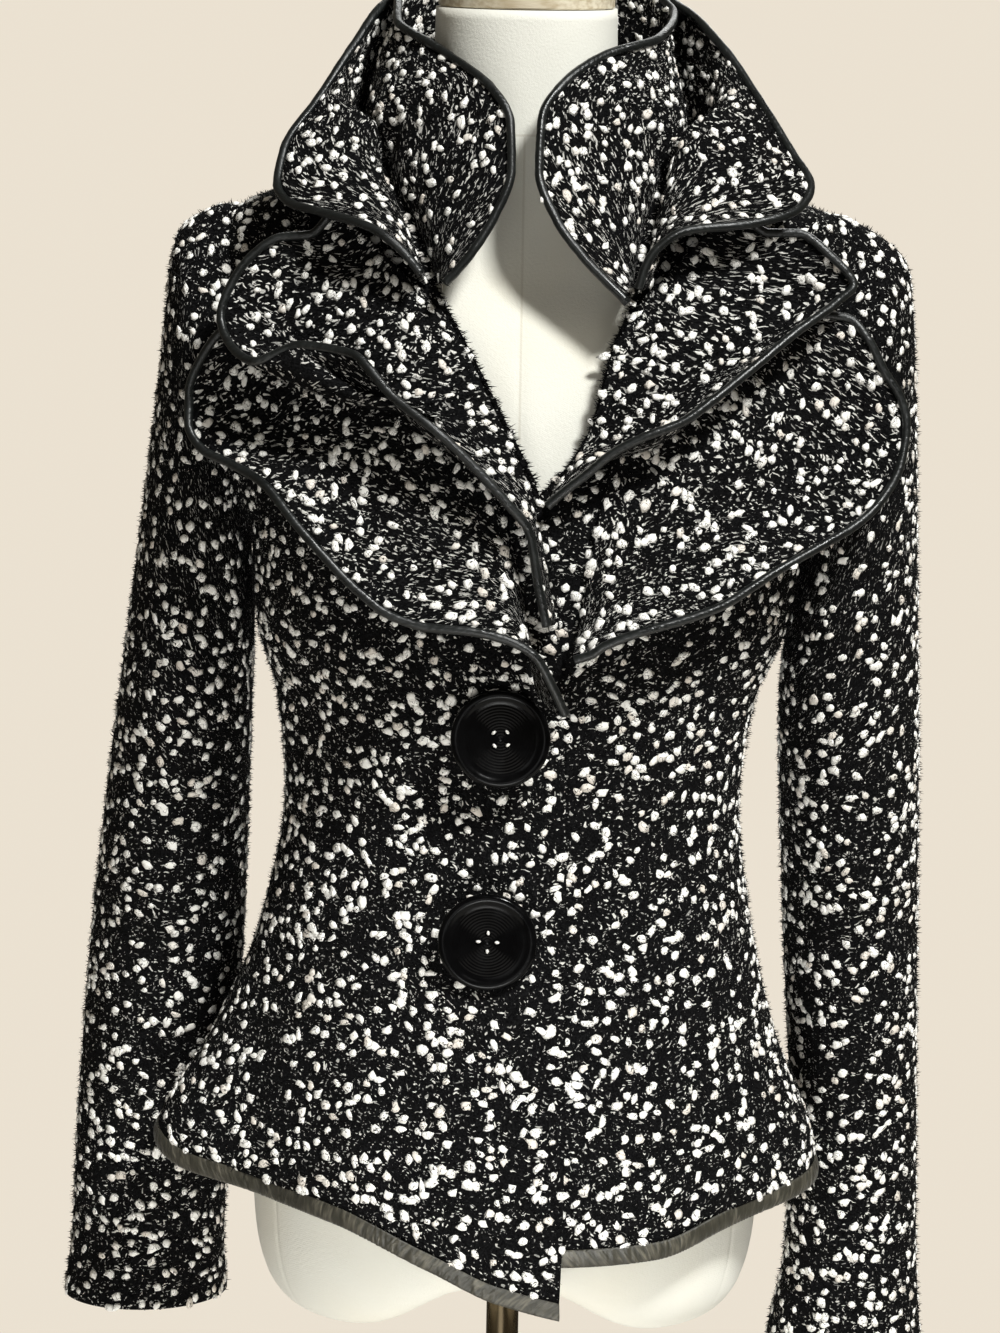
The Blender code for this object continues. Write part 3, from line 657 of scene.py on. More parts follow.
@dataclass(frozen=True)
class KnitFinish(Finish):
    """Fine cream knit, a little yellowed."""

    worn: tuple[float, float, float, float] = colour(0.70, 0.65, 0.53)
    seam: tuple[float, float, float, float] = colour(0.42, 0.37, 0.28)
    row_height: float = 0.0011
    wales: float = 320.0

    def build(self) -> bpy.types.Material:
        """Makes the material, with a line down the middle and one round the neck.

        Returns:
            The material.
        """
        made, nodes, shader = self.start()
        place = self.place(nodes)
        parts = nodes.add("ShaderNodeSeparateXYZ", {0: place})
        middle = nodes.math("ABSOLUTE", parts.outputs[0])
        above = nodes.math("SUBTRACT", parts.outputs[2], NECK_SEAM * MM)
        middle = nodes.math("ADD", middle, nodes.span(above, -0.001, 0.002))
        line = nodes.span(nodes.math("MINIMUM", middle, nodes.math("ABSOLUTE", above)), 0.0009, 0.0003)
        rows = nodes.math("SINE", nodes.math("MULTIPLY", parts.outputs[2], 2 * math.pi / self.row_height))
        around = nodes.math("ARCTAN2", parts.outputs[0], parts.outputs[1])
        wales = nodes.math("SINE", nodes.math("MULTIPLY", around, self.wales))
        stitch = nodes.math("MULTIPLY", rows, wales)
        patch = nodes.noise(place, 9.0, 3.0)
        aged = nodes.blend(nodes.span(patch, 0.35, 0.8, 0.0, 0.6), self.base, self.worn)
        nodes.feed(nodes.blend(nodes.math("MULTIPLY", line, 0.32), aged, self.seam), shader)
        height = nodes.math("ADD", nodes.math("MULTIPLY", stitch, 0.25), self.fibres(nodes, place, 700.0))
        self.bump(nodes, shader, height, 0.0003, 0.3)
        return made


@dataclass(frozen=True)
class WoodFinish(Finish):
    """Varnished pale wood, its grain across the cap."""

    dark: tuple[float, float, float, float] = colour(0.42, 0.34, 0.22)

    def build(self) -> bpy.types.Material:
        """Makes the material.

        Returns:
            The material.
        """
        made, nodes, shader = self.start()
        place = nodes.vector("MULTIPLY", self.place(nodes), (9.0, 90.0, 90.0))
        grain = nodes.noise(place, 3.0, 6.0)
        nodes.feed(nodes.blend(nodes.span(grain, 0.35, 0.7), self.base, self.dark), shader)
        self.bump(nodes, shader, grain, 0.0003, 0.3)
        return made


@dataclass(frozen=True)
class MetalFinish(Finish):
    """Polished or painted metal with small scuffs."""

    scuff: float = 0.12

    def build(self) -> bpy.types.Material:
        """Makes the material.

        Returns:
            The material.
        """
        made, nodes, shader = self.start()
        place = self.place(nodes)
        marks = nodes.noise(nodes.vector("MULTIPLY", place, (1.0, 1.0, 0.15)), 240.0, 4.0)
        rough = nodes.span(marks, 0.35, 0.75, self.roughness, self.roughness + self.scuff)
        nodes.feed(rough, shader, "Roughness")
        darker = colour(*(0.75 * part for part in self.base[:3]))
        nodes.feed(nodes.blend(nodes.noise(place, 30.0), self.base, darker), shader)
        return made


@dataclass(frozen=True)
class FloorFinish(Finish):
    """Plain pale floor."""

    def build(self) -> bpy.types.Material:
        """Makes the material."""
        return self.start()[0]


TIER_LAYERS: Rows = (
    (0.0050, 0.0021, 0.42, 0.6), (0.0034, 0.0015, 0.47, 0.6), (0.0018, 0.0040, 0.59, 0.66),
)


class Wardrobe:
    """Every finish of the part, made once."""

    def __init__(self) -> None:
        """Builds the materials."""
        black = colour(0.008, 0.008, 0.0085)
        self.boucle = BoucleFinish("boucle cloth", black, 0.95, specular=0.08).build()
        self.tiers = BoucleFinish("boucle tiers", black, 0.95, specular=0.08, layers=TIER_LAYERS).build()
        self.nubs = NubFinish("cream nubs", colour(0.94, 0.925, 0.885), 0.9, specular=0.2).build()
        self.fuzz = FuzzFinish("loose fibres", black, 0.8, specular=0.12).build()
        # Both satins get a painted sheen: their light colour marks the raised puckers.
        self.satin = SatinFinish("satin piping", colour(0.0045, 0.0055, 0.0055), 0.3, specular=0.5,
                                 light=colour(0.012, 0.0145, 0.0138)).build()
        self.ribbon = SatinFinish("satin hem", colour(0.030, 0.028, 0.020), 0.38, sheen=0.1,
                                  light=colour(0.135, 0.122, 0.092), pucker=1.0).build()
        self.gloss = GlossFinish("polished black", colour(0.0008, 0.0008, 0.001), 0.16, specular=0.11).build()
        self.thread = KnitFinish("pale thread", colour(0.90, 0.88, 0.84), 0.8,
                                 worn=colour(0.85, 0.82, 0.76)).build()
        self.cover = KnitFinish("cream knit", colour(0.72, 0.71, 0.645), 0.85, sheen=0.15).build()
        self.wood = WoodFinish("cap wood", colour(0.66, 0.60, 0.47), 0.45).build()
        self.steel = MetalFinish("pole steel", colour(0.18, 0.14, 0.085), 0.16, 1.0).build()
        self.paint = MetalFinish("base paint", colour(0.03, 0.03, 0.03), 0.42, scuff=0.2).build()


# Meshes


def link(name: str, mesh: bpy.types.Mesh, material: bpy.types.Material) -> bpy.types.Object:
    """Makes a piece of a mesh, riding on the model.

    Args:
        name: Name of the piece.
        mesh: Its mesh, in metres.
        material: Its finish.

    Returns:
        The piece.
    """
    mesh.materials.clear()
    mesh.materials.append(material)
    mesh.polygons.foreach_set("use_smooth", np.ones(len(mesh.polygons), bool))
    made = bpy.data.objects.new(name, mesh)
    bpy.context.scene.collection.objects.link(made)
    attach(made, "root")
    return made


def finish_bmesh(name: str, bm: bmesh.types.BMesh) -> bpy.types.Mesh:
    """Writes a bmesh to a new mesh and frees it.

    Args:
        name: Name of the mesh.
        bm: The bmesh.

    Returns:
        The mesh.
    """
    mesh = bpy.data.meshes.new(name)
    bm.to_mesh(mesh)
    bm.free()
    return mesh


def add_wall(made: bpy.types.Object) -> None:
    """Gives a piece the thickness of the cloth, inwards.

    Args:
        made: The piece.
    """
    wall = made.modifiers.new("wall", "SOLIDIFY")
    wall.thickness = CLOTH * MM
    wall.offset = -1


def close_ends(mesh: bpy.types.Mesh) -> None:
    """Fills the open ends of a tube and turns its faces outwards.

    Args:
        mesh: The tube.
    """
    bm = bmesh.new()
    bm.from_mesh(mesh)
    bmesh.ops.holes_fill(bm, edges=[edge for edge in bm.edges if edge.is_boundary])
    bmesh.ops.recalc_face_normals(bm, faces=bm.faces[:])
    bm.to_mesh(mesh)
    bm.free()


def turned(outline: Sequence[Vector], axis: tuple[float, float, float]) -> bmesh.types.BMesh:
    """Turns an outline about an axis through the origin.

    Args:
        outline: Points from the axis round to the axis, in metres.
        axis: The axis.

    Returns:
        The turned shape, closed at its poles.
    """
    bm = bmesh.new()
    verts = [bm.verts.new(point) for point in outline]
    edges = [bm.edges.new(pair) for pair in zip(verts, verts[1:])]
    bmesh.ops.spin(bm, geom=verts + edges, cent=(0, 0, 0), axis=axis, angle=2 * math.pi,
                   steps=TURNED_SIDES, use_merge=True)
    bmesh.ops.remove_doubles(bm, verts=bm.verts[:], dist=2e-5)
    bmesh.ops.recalc_face_normals(bm, faces=bm.faces[:])
    return bm


@dataclass
class Patch:
    """A surface sampled on a grid: points and normals in millimetres, rows by columns."""

    points: Array
    normals: Array

    @classmethod
    def of(cls, surface: Callable[[Array, Array], Array], across: int, up: int, flip: bool,
           closed: bool = False) -> "Patch":
        """Samples a surface.

        Args:
            surface: Points at arrays of u and v from 0 to 1.
            across: Columns.
            up: Rows.
            flip: Turns the normals round.
            closed: The last column lies on the first.

        Returns:
            The patch.
        """
        u, v = np.meshgrid(np.linspace(0, 1, across + 1), np.linspace(0, 1, up + 1))
        points = surface(u.ravel(), v.ravel()).reshape(up + 1, across + 1, 3)
        patch = cls(points, np.zeros_like(points))
        patch.turn(flip, closed)
        return patch

    def turn(self, flip: bool, closed: bool) -> None:
        """Works the normals out again from the points.

        Args:
            flip: Turns the normals round.
            closed: The last column lies on the first.
        """
        wide = np.gradient(self.points, axis=1)
        if closed:
            ends = (self.points[:, 1] - self.points[:, -2]) / 2
            wide[:, 0] = wide[:, -1] = ends
        normals = unit(np.cross(wide, np.gradient(self.points, axis=0)))
        self.normals = -normals if flip else normals

    def arc(self, turn: float) -> Array:
        """Lengths along the cloth, as a map in metres.

        Args:
            turn: Angle of the weft to the rows.

        Returns:
            Map places, rows by columns.
        """
        wide = np.linalg.norm(np.diff(self.points, axis=1), axis=2)
        tall = np.linalg.norm(np.diff(self.points, axis=0), axis=2).mean(axis=1)
        across = np.concatenate([np.zeros((len(wide), 1)), np.cumsum(wide, axis=1)], axis=1)
        across -= across[:, -1:] / 2
        along = np.concatenate([[0], np.cumsum(tall)])[:, None] + 0 * across
        sine, cosine = math.sin(math.radians(turn)), math.cos(math.radians(turn))
        return columns(across * cosine - along * sine, across * sine + along * cosine) * MM

    def areas(self) -> Array:
        """Area of each cell, in square millimetres.

        Returns:
            The areas, rows by columns.
        """
        p = self.points
        one, two = p[1:, 1:] - p[:-1, :-1], p[1:, :-1] - p[:-1, 1:]
        return np.linalg.norm(np.cross(one, two), axis=2) / 2

    def flat_size(self) -> tuple[float, float]:
        """Greatest width and length along the cloth, in metres.

        Returns:
            Width and length.
        """
        wide = np.linalg.norm(np.diff(self.points, axis=1), axis=2).sum(axis=1).max()
        tall = np.linalg.norm(np.diff(self.points, axis=0), axis=2).sum(axis=0).max()
        return float(wide * MM), float(tall * MM)

    def back(self, thickness: float) -> "Patch":
        """The other face of the cloth."""
        return Patch(self.points - self.normals * thickness, -self.normals)

    def polygons(self) -> tuple[list, list]:
        """Points and cells, for finding what lies in front of a place.

        Returns:
            The points, and the four corners of each cell.
        """
        up, across = self.points.shape[:2]
        index = np.arange(up * across).reshape(up, across)
        cells = np.stack([index[:-1, :-1], index[:-1, 1:], index[1:, 1:], index[1:, :-1]], axis=-1)
        return self.points.reshape(-1, 3).tolist(), cells.reshape(-1, 4).tolist()

    def mesh(self, name: str, flip: bool, closed: bool, turn: float = 0.0) -> bpy.types.Mesh:
        """Lays a grid on the patch, with its weave map and its bake map.

        Args:
            name: Name of the mesh.
            flip: Turns the faces round.
            closed: Joins the last column to the first.
            turn: Angle of the weft to the rows.

        Returns:
            The mesh, in metres.
        """
        up, across = self.points.shape[0] - 1, self.points.shape[1] - 1
        bm = bmesh.new()
        bmesh.ops.create_grid(bm, x_segments=across, y_segments=up, size=0.5)
        mesh = finish_bmesh(name, bm)
        flat = np.empty(len(mesh.vertices) * 3, np.float32)
        mesh.vertices.foreach_get("co", flat)
        share = flat.reshape(-1, 3)[:, :2] + 0.5
        row = np.rint(share[:, 1] * up).astype(int)
        column = np.rint(share[:, 0] * across).astype(int)
        mesh.vertices.foreach_set("co", (self.points[row, column] * MM).astype(np.float32).ravel())
        corner = np.empty(len(mesh.loops), np.int32)
        mesh.loops.foreach_get("vertex_index", corner)
        for map_name, places in ((WEAVE_MAP, self.arc(turn)[row, column]), (BAKE_MAP, share)):
            layer = mesh.uv_layers.new(name=map_name)
            layer.data.foreach_set("uv", places[corner].astype(np.float32).ravel())
        bm = bmesh.new()
        bm.from_mesh(mesh)
        if closed:
            bmesh.ops.remove_doubles(bm, verts=bm.verts[:], dist=1e-6)
        if flip:
            bmesh.ops.reverse_faces(bm, faces=bm.faces[:])
        bm.to_mesh(mesh)
        bm.free()
        return mesh


@dataclass(frozen=True)
class Fold:
    """A soft trough, or a ridge where depth is under nought, seen from the front or the back."""

    start: tuple[float, float]
    end: tuple[float, float]
    width: float
    depth: float
    facing: float = -1.0
    ends: float = 0.35

    def press(self, patch: Patch) -> None:
        """Moves a patch's points along its normals.

        Args:
            patch: The patch to press into.
        """
        place = patch.points[..., (0, 2)]
        start, run = np.array(self.start), np.array(self.end) - np.array(self.start)
        share = np.clip(((place - start) @ run) / (run @ run), 0, 1)
        away = np.linalg.norm(place - start - share[..., None] * run, axis=-1)
        seen = step(0.0, 0.5, patch.normals[..., 1] * self.facing)
        taper = mix(self.ends, 1.0, np.sin(np.pi * share))
        move = self.depth * np.exp(-((away / self.width) ** 2)) * seen * taper
        patch.points -= patch.normals * move[..., None]


@dataclass
class Nap:
    """Nubs and loose fibres of the boucle, joined into one mesh each for a piece of cloth."""

    density: float = 9300.0
    spacing: float = 5.6
    twin_share: float = 0.24
    twin_gap: float = 4.6
    half_length: tuple[float, float] = (1.9, 3.7)
    half_width: tuple[float, float] = (1.6, 2.8)
    height: tuple[float, float] = (0.6, 1.1)
    lumps: float = 0.2
    fibre_density: float = 90000.0
    fibre_length: tuple[float, float] = (1.2, 3.3)
    fibre_half_width: float = 0.36
    clear: float = 7.0
    fringe_length: tuple[float, float] = (2.0, 5.2)
    fringe_crowd: float = 16.0
    fringe_width: float = 1.3
    fibre_lean: float = 0.9
    fringe_lean: float = 0.55
    fibre_spread: float = 0.8
    least_rise: float = 0.1
    nub_turn: float = 0.55
    nub_sunk: float = 0.35
    start_off: float = 0.8
    map_margin: float = 0.06
    map_share: float = 0.88
    obstacles: BVHTree | None = None

    def scatter(self, patch: Patch, count: int, rng: np.random.Generator) -> tuple[Array, Array, Array]:
        """Spreads places evenly over a patch.

        Args:
            patch: The surface.
            count: How many places.
            rng: Source of chance.

        Returns:
            Points, normals and weft directions.
        """
        areas = patch.areas()
        cell = rng.choice(areas.size, count, p=(areas / areas.sum()).ravel())
        row, column = np.unravel_index(cell, areas.shape)
        s, t = rng.random((2, count, 1))
        found = []
        for values in (patch.points, patch.normals):
            low = mix(values[row, column], values[row, column + 1], s)
            high = mix(values[row + 1, column], values[row + 1, column + 1], s)
            found.append(mix(low, high, t))
        weft = unit(patch.points[row, column + 1] - patch.points[row, column])
        return found[0], unit(found[1]), weft

    def spaced(self, points: Array) -> Array:
        """Which points to keep so that none lie closer than the spacing.

        Args:
            points: The points, in order of choice.

        Returns:
            True for each point to keep.
        """
        kept: dict[tuple[int, int, int], list[Array]] = {}
        keep = np.zeros(len(points), bool)
        cells = np.floor(points / self.spacing).astype(int)
        around = [(i, j, k) for i in (-1, 0, 1) for j in (-1, 0, 1) for k in (-1, 0, 1)]
        for place, (point, cell) in enumerate(zip(points, cells)):
            near = [other for i, j, k in around
                    for other in kept.get((cell[0] + i, cell[1] + j, cell[2] + k), ())]
            if all(((point - other) ** 2).sum() > self.spacing**2 for other in near):
                kept.setdefault(tuple(cell), []).append(point)
                keep[place] = True
        return keep

    def free(self, points: Array, normals: Array, reach: float) -> Array:
        """Which points have no other cloth just in front of them.

        Args:
            points: The points.
            normals: Their outward directions.
            reach: How far to look.

        Returns:
            True for each point that is free.
        """
        starts = points + normals * self.start_off
        return np.array([
            self.obstacles.ray_cast(Vector(start), Vector(normal), reach)[0] is None
            for start, normal in zip(starts, normals)
        ], bool)

    def loop(self) -> tuple[Array, Array]:
        """One nub of radius 1, open below.

        Returns:
            Its points and triangles.
        """
        bm = bmesh.new()
        bmesh.ops.create_uvsphere(bm, u_segments=8, v_segments=4, radius=1.0)
        bmesh.ops.bisect_plane(bm, geom=bm.verts[:] + bm.edges[:] + bm.faces[:], plane_no=(0, 0, -1),
                               plane_co=(0, 0, -self.nub_sunk), clear_outer=True)
        bmesh.ops.triangulate(bm, faces=bm.faces[:])
        bm.verts.index_update()
        points = np.array([vert.co for vert in bm.verts])
        faces = np.array([[vert.index for vert in face.verts] for face in bm.faces])
        bm.free()
        return points, faces

    def joined(self, name: str, points: Array, faces: Array, places: Array) -> bpy.types.Mesh:
        """Joins many copies into one mesh.

        Args:
            name: Name of the mesh.
            points: Points of each copy, copies by points, in millimetres.
            faces: Triangles of one copy.
            places: Map places of one copy's points, from 0 to 1.

        Returns:
            The mesh, each copy in its own square of the bake map.
        """
        copies, size = points.shape[:2]
        corners = (faces[None] + (np.arange(copies) * size)[:, None, None]).reshape(-1)
        mesh = bpy.data.meshes.new(name)
        mesh.vertices.add(copies * size)
        mesh.vertices.foreach_set("co", (points * MM).astype(np.float32).ravel())
        mesh.loops.add(len(corners))
        mesh.loops.foreach_set("vertex_index", corners.astype(np.int32))
        mesh.polygons.add(len(corners) // 3)
        mesh.polygons.foreach_set("loop_start", np.arange(0, len(corners), 3, dtype=np.int32))
        mesh.update(calc_edges=True)
        side = math.ceil(math.sqrt(copies))
        square = columns(np.arange(copies) % side, np.arange(copies) // side)[:, None]
        maps = ((square + self.map_margin + self.map_share * places[None]) / side).reshape(-1, 2)
        layer = mesh.uv_layers.new(name=BAKE_MAP)
        layer.data.foreach_set("uv", maps[corners].astype(np.float32).ravel())
        return mesh

    def nubs(self, name: str, faces: Sequence[Patch], rng: np.random.Generator) -> bpy.types.Mesh:
        """Nubs over the faces of a piece of cloth.

        Args:
            name: Name of the mesh.
            faces: The faces that carry nubs.
            rng: Source of chance.

        Returns:
            The joined mesh.
        """
        found = []
        for patch in faces:
            wanted = int(patch.areas().sum() * self.density * MM * MM)
            places = self.scatter(patch, wanted * 2, rng)
            keep = np.flatnonzero(self.spaced(places[0]))[: int(wanted * (1 - self.twin_share / 2))]
            point, normal, weft = (part[keep] for part in places)
            twin = np.flatnonzero(rng.random(len(point)) < self.twin_share)
            turn = rng.uniform(0, 2 * np.pi, (len(twin), 1))
            bias = np.cross(normal[twin], weft[twin])
            beside = point[twin] + self.twin_gap * (weft[twin] * np.cos(turn) + bias * np.sin(turn))
            point = np.concatenate([point, beside])
            normal, weft = (np.concatenate([part, part[twin]]) for part in (normal, weft))
            keep = self.free(point, normal, self.clear)
            found.append(tuple(part[keep] for part in (point, normal, weft)))
        point, normal, weft = (np.concatenate(parts) for parts in zip(*found))
        count = len(point)
        shape, triangles = self.loop()
        turn = rng.normal(0, self.nub_turn, (count, 1))
        bias = np.cross(normal, weft)
        first = weft * np.cos(turn) + bias * np.sin(turn)
        second = np.cross(normal, first)
        lump = 1 + rng.normal(0, self.lumps, (count, len(shape), 1))
        spans = (self.half_length, self.half_width, self.height)
        sizes = columns(*(rng.uniform(*span, count) for span in spans))
        local = shape[None] * lump * sizes[:, None]
        axes = np.stack([first, second, normal], axis=1)
        mesh = self.joined(name, point[:, None] + local @ axes, triangles, shape[:, :2] / 2 + 0.5)
        # The rise goes from 0 at each nub's base to 1 at its top; the nub finish paints shade towards the
        # base by it.
        for label, values in (("tone", np.repeat(rng.random(count), len(shape))),
                              ("rise", np.tile((shape[:, 2] + self.nub_sunk) / (1 + self.nub_sunk), count))):
            data = mesh.attributes.new(label, "FLOAT", "POINT")
            data.data.foreach_set("value", values.astype(np.float32))
        return mesh

    def fibres(self, name: str, faces: Sequence[Patch], fringe: Patch | None,
               rng: np.random.Generator) -> bpy.types.Mesh:
        """Loose fibres over the faces of a piece of cloth.

        Args:
            name: Name of the mesh.
            faces: The faces that carry fibres.
            fringe: A strip with longer fibres, or None.
            rng: Source of chance.

        Returns:
            The joined mesh.
        """
        plain = (self.fibre_density, self.fibre_length, self.fibre_lean, self.fibre_half_width)
        strips = [(patch, *plain) for patch in faces]
        if fringe is not None:
            strips.append((fringe, self.fibre_density * self.fringe_crowd, self.fringe_length,
                           self.fringe_lean, self.fibre_half_width * self.fringe_width))
        found = []
        for patch, density, lengths, lean, half in strips:
            count = int(patch.areas().sum() * density * MM * MM)
            point, normal, _ = self.scatter(patch, count, rng)
            keep = self.free(point, normal, lengths[1])
            point, normal = point[keep], normal[keep]
            way = unit(normal + lean * rng.normal(0, self.fibre_spread, point.shape))
            way = np.where((way * normal).sum(axis=1, keepdims=True) < self.least_rise, normal, way)
            wide = unit(np.cross(way, rng.normal(0, 1, way.shape))) * half
            found.append((point, point + way * rng.uniform(*lengths, (len(point), 1)), wide))
        start, tip, wide = (np.concatenate(parts) for parts in zip(*found))
        points = np.stack([start - wide, start + wide, tip], axis=1)
        places = np.array([[0.0, 0.0], [1.0, 0.0], [0.5, 1.0]])
        return self.joined(name, points, np.array([[0, 1, 2]]), places)


# Pieces of cloth


@dataclass
class Cloth:
    """One cut piece of boucle, with its folds, nubs and fibres."""

    node: str
    across: int
    up: int
    flip: bool
    held: Held
    rests_on: tuple[str, ...]
    closed: bool = False
    weft_turn: float = 0.0
    two_faced: bool = False
    folds: tuple[Fold, ...] = ()
    seed: int = 0
    patch: Patch | None = field(default=None, repr=False)
    pieces: list[bpy.types.Object] = field(default_factory=list, repr=False)

    def surface(self, u: Array, v: Array) -> Array:
        """Points of the outer face, in millimetres.

        Args:
            u: Share across.
            v: Share up.

        Returns:
            The points.
        """
        raise NotImplementedError

    def fringe(self) -> Patch | None:
        """A strip with longer fibres, if the piece has one."""
        return None

    def shape(self) -> None:
        """Samples the surface and presses the folds into it."""
        self.patch = Patch.of(self.surface, self.across, self.up, self.flip, self.closed)
        for fold in self.folds:
            fold.press(self.patch)
        if self.folds:
            self.patch.turn(self.flip, self.closed)

    def build(self, wardrobe: Wardrobe, nap: Nap) -> bpy.types.Object:
        """Makes the cloth with its nubs and fibres.

        Args:
            wardrobe: The finishes.
            nap: The boucle's nubs and fibres.

        Returns:
            The cloth.
        """
        mesh = self.patch.mesh(self.node, self.flip, self.closed, self.weft_turn)
        weave = wardrobe.tiers if isinstance(self, Tier) else wardrobe.boucle
        made = link(f"{self.node}_cloth", mesh, weave)
        add_wall(made)
        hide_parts(self.node)
        rng = np.random.default_rng(self.seed)
        faces = [self.patch] + ([self.patch.back(CLOTH)] if self.two_faced else [])
        nubs = link(f"{self.node}_nubs", nap.nubs(f"{self.node}_nubs", faces, rng), wardrobe.nubs)
        fibres = nap.fibres(f"{self.node}_fibres", faces, self.fringe(), rng)
        fuzz = link(f"{self.node}_fibres", fibres, wardrobe.fuzz)
        self.pieces = [nubs, fuzz]
        LOG.info("%s: %d faces, %d nub faces, %d fibres", made.name, len(mesh.polygons),
                 len(nubs.data.polygons), len(fuzz.data.polygons))
        return made

    def declare(self, made: bpy.types.Object, trims: Sequence[bpy.types.Object]) -> None:
        """Args:
            made: The cloth. Not used.
            trims: Pipings and hems on it. Not used.
        """
        wide, tall = self.patch.flat_size()
        area = float(self.patch.areas().sum() * MM * MM)


@dataclass
class Front(Cloth):
    """One front of the blazer, from its cut edge to the side seam."""

    side: Side = Side.RIGHT
    fringe_rows: tuple[float, float] = (1250.0, 1354.0)
    fringe_lift: float = 0.45

    def surface(self, u: Array, v: Array) -> Array:
        """Points of the front.

        Args:
            u: Share from the cut edge.
            v: Share from hem to neck.

        Returns:
            The points, in millimetres.
        """
        sign = self.side.value
        level, skirt = FIGURE.level(v)
        below = skirt < 1
        z = np.where(below, mix(FIGURE.skirt_level, FIGURE.underarm, skirt), level)
        low = FIGURE.edge_angle(sign, z)
        high = 90 - FIGURE.seam_angle - FIGURE.armhole_reach(z)
        angle = mix(low, high, u)
        hem = FIGURE.hems[sign].at("z", angle)
        z = np.where(below, mix(hem, FIGURE.underarm, skirt), level)
        return FIGURE.point(sign, angle, z, FIGURE.lap(sign, angle))

    def fringe(self) -> Patch | None:
        """The roll of the V opening, its fibres standing out past the edge.

        Returns:
            The strip along the opening.
        """
        rows = self.patch.points[:, 0, 2]
        low, high = (int(np.argmin(np.abs(rows - z))) for z in self.fringe_rows)
        points, normals = self.patch.points[low:high + 1, :2], self.patch.normals[low:high + 1, :2]
        past = unit(points[:, :1] - points[:, 1:])
        return Patch(points, unit(past + self.fringe_lift * normals))


@dataclass
class Back(Cloth):
    """The back of the blazer, from side seam to side seam."""

    def surface(self, u: Array, v: Array) -> Array:
        """Points of the back.

        Args:
            u: Share from right to left.
            v: Share from hem to neck.

        Returns:
            The points, in millimetres.
        """
        level, skirt = FIGURE.level(v)
        below = skirt < 1
        turn = 2 * u - 1
        sign = np.where(turn < 0, -1, 1)
        reach = np.where(below, 0.0, FIGURE.armhole_reach(level))
        angle = 180 - np.abs(turn) * (90 - FIGURE.seam_angle - reach)
        hem = np.where(sign < 0, FIGURE.hems[-1].at("z", angle), FIGURE.hems[1].at("z", angle))
        return FIGURE.point(sign, angle, np.where(below, mix(hem, FIGURE.underarm, skirt), level))


@dataclass
class Sleeve(Cloth):
    """A sleeve from the armhole to the cuff, its seam under the arm.

    Each row gives the inner and the outer point of a section seen from the front, then its
    middle and half its depth from front to back.
    """

    side: Side = Side.RIGHT
    rows: Rows = ()
    seam: float = 0.4
    start_angle: float = 27.75
    ease: float = 1.35
    cap_lift: float = 10.0
    cap_out: float = 0.8
    cap_narrow: int = 6
    blend: tuple[float, float] = (-0.02, 0.09)

    def surface(self, u: Array, v: Array) -> Array:
        """Points of the sleeve.

        Args:
            u: Share round the sleeve.
            v: Share from armhole to cuff.

        Returns:
            The points, in millimetres.
        """
        names = ("inner_x", "inner_z", "outer_x", "outer_z", "middle", "depth")
        sign = self.side.value
        v = v**self.ease
        turn = 2 * np.pi * (u + 0.5)
        reach = FIGURE.arm_reach - self.seam
        cap = np.maximum(0, np.cos(turn)) ** self.cap_narrow
        height = FIGURE.arm_middle + reach * np.cos(turn) + self.cap_lift * cap
        start = FIGURE.point(sign, 90 - self.start_angle * np.sin(turn), height, self.cap_out * cap)
        row = rows_at(self.rows, names, v)
        inner = columns(sign * row["inner_x"], row["middle"], row["inner_z"])
        outer = columns(sign * row["outer_x"], row["middle"], row["outer_z"])
        section = (inner + outer) / 2 + (outer - inner) / 2 * np.cos(turn)[:, None]
        section[:, 1] -= row["depth"] * np.sin(turn)
        share = np.where(v > 0, step(*self.blend, v), 0.0)
        return mix(start, section, share[:, None])


def leaf(root: Array, control: Array, edge: Array, share: Array) -> Array:
    """Points of a leaf between its seam and its free edge, drawn towards a control point."""
    share = np.asarray(share)[:, None]
    return mix(mix(root, control, share), mix(control, edge, share), share)


@dataclass
class Tier(Cloth):
    """A leaf of cloth with a seam, a free edge and a bound rim."""

    rim_from: float = 0.9

    def binding(self, u: Array, radius: float, gap: float) -> tuple[Array, Array, Array]:
        """Middle line of the bound rim.

        Args:
            u: Places along the rim.
            radius: Radius of the binding.
            gap: Gap to the cloth.

        Returns:
            Points, outward directions and directions along the rim.
        """
        edge = self.surface(u, np.ones_like(u))
        inside = self.surface(u, np.full_like(u, self.rim_from))
        along = unit(np.gradient(edge, axis=0))
        out = edge - inside
        out = unit(out - along * (out * along).sum(axis=1, keepdims=True))
        return edge + out * (radius + gap), out, along


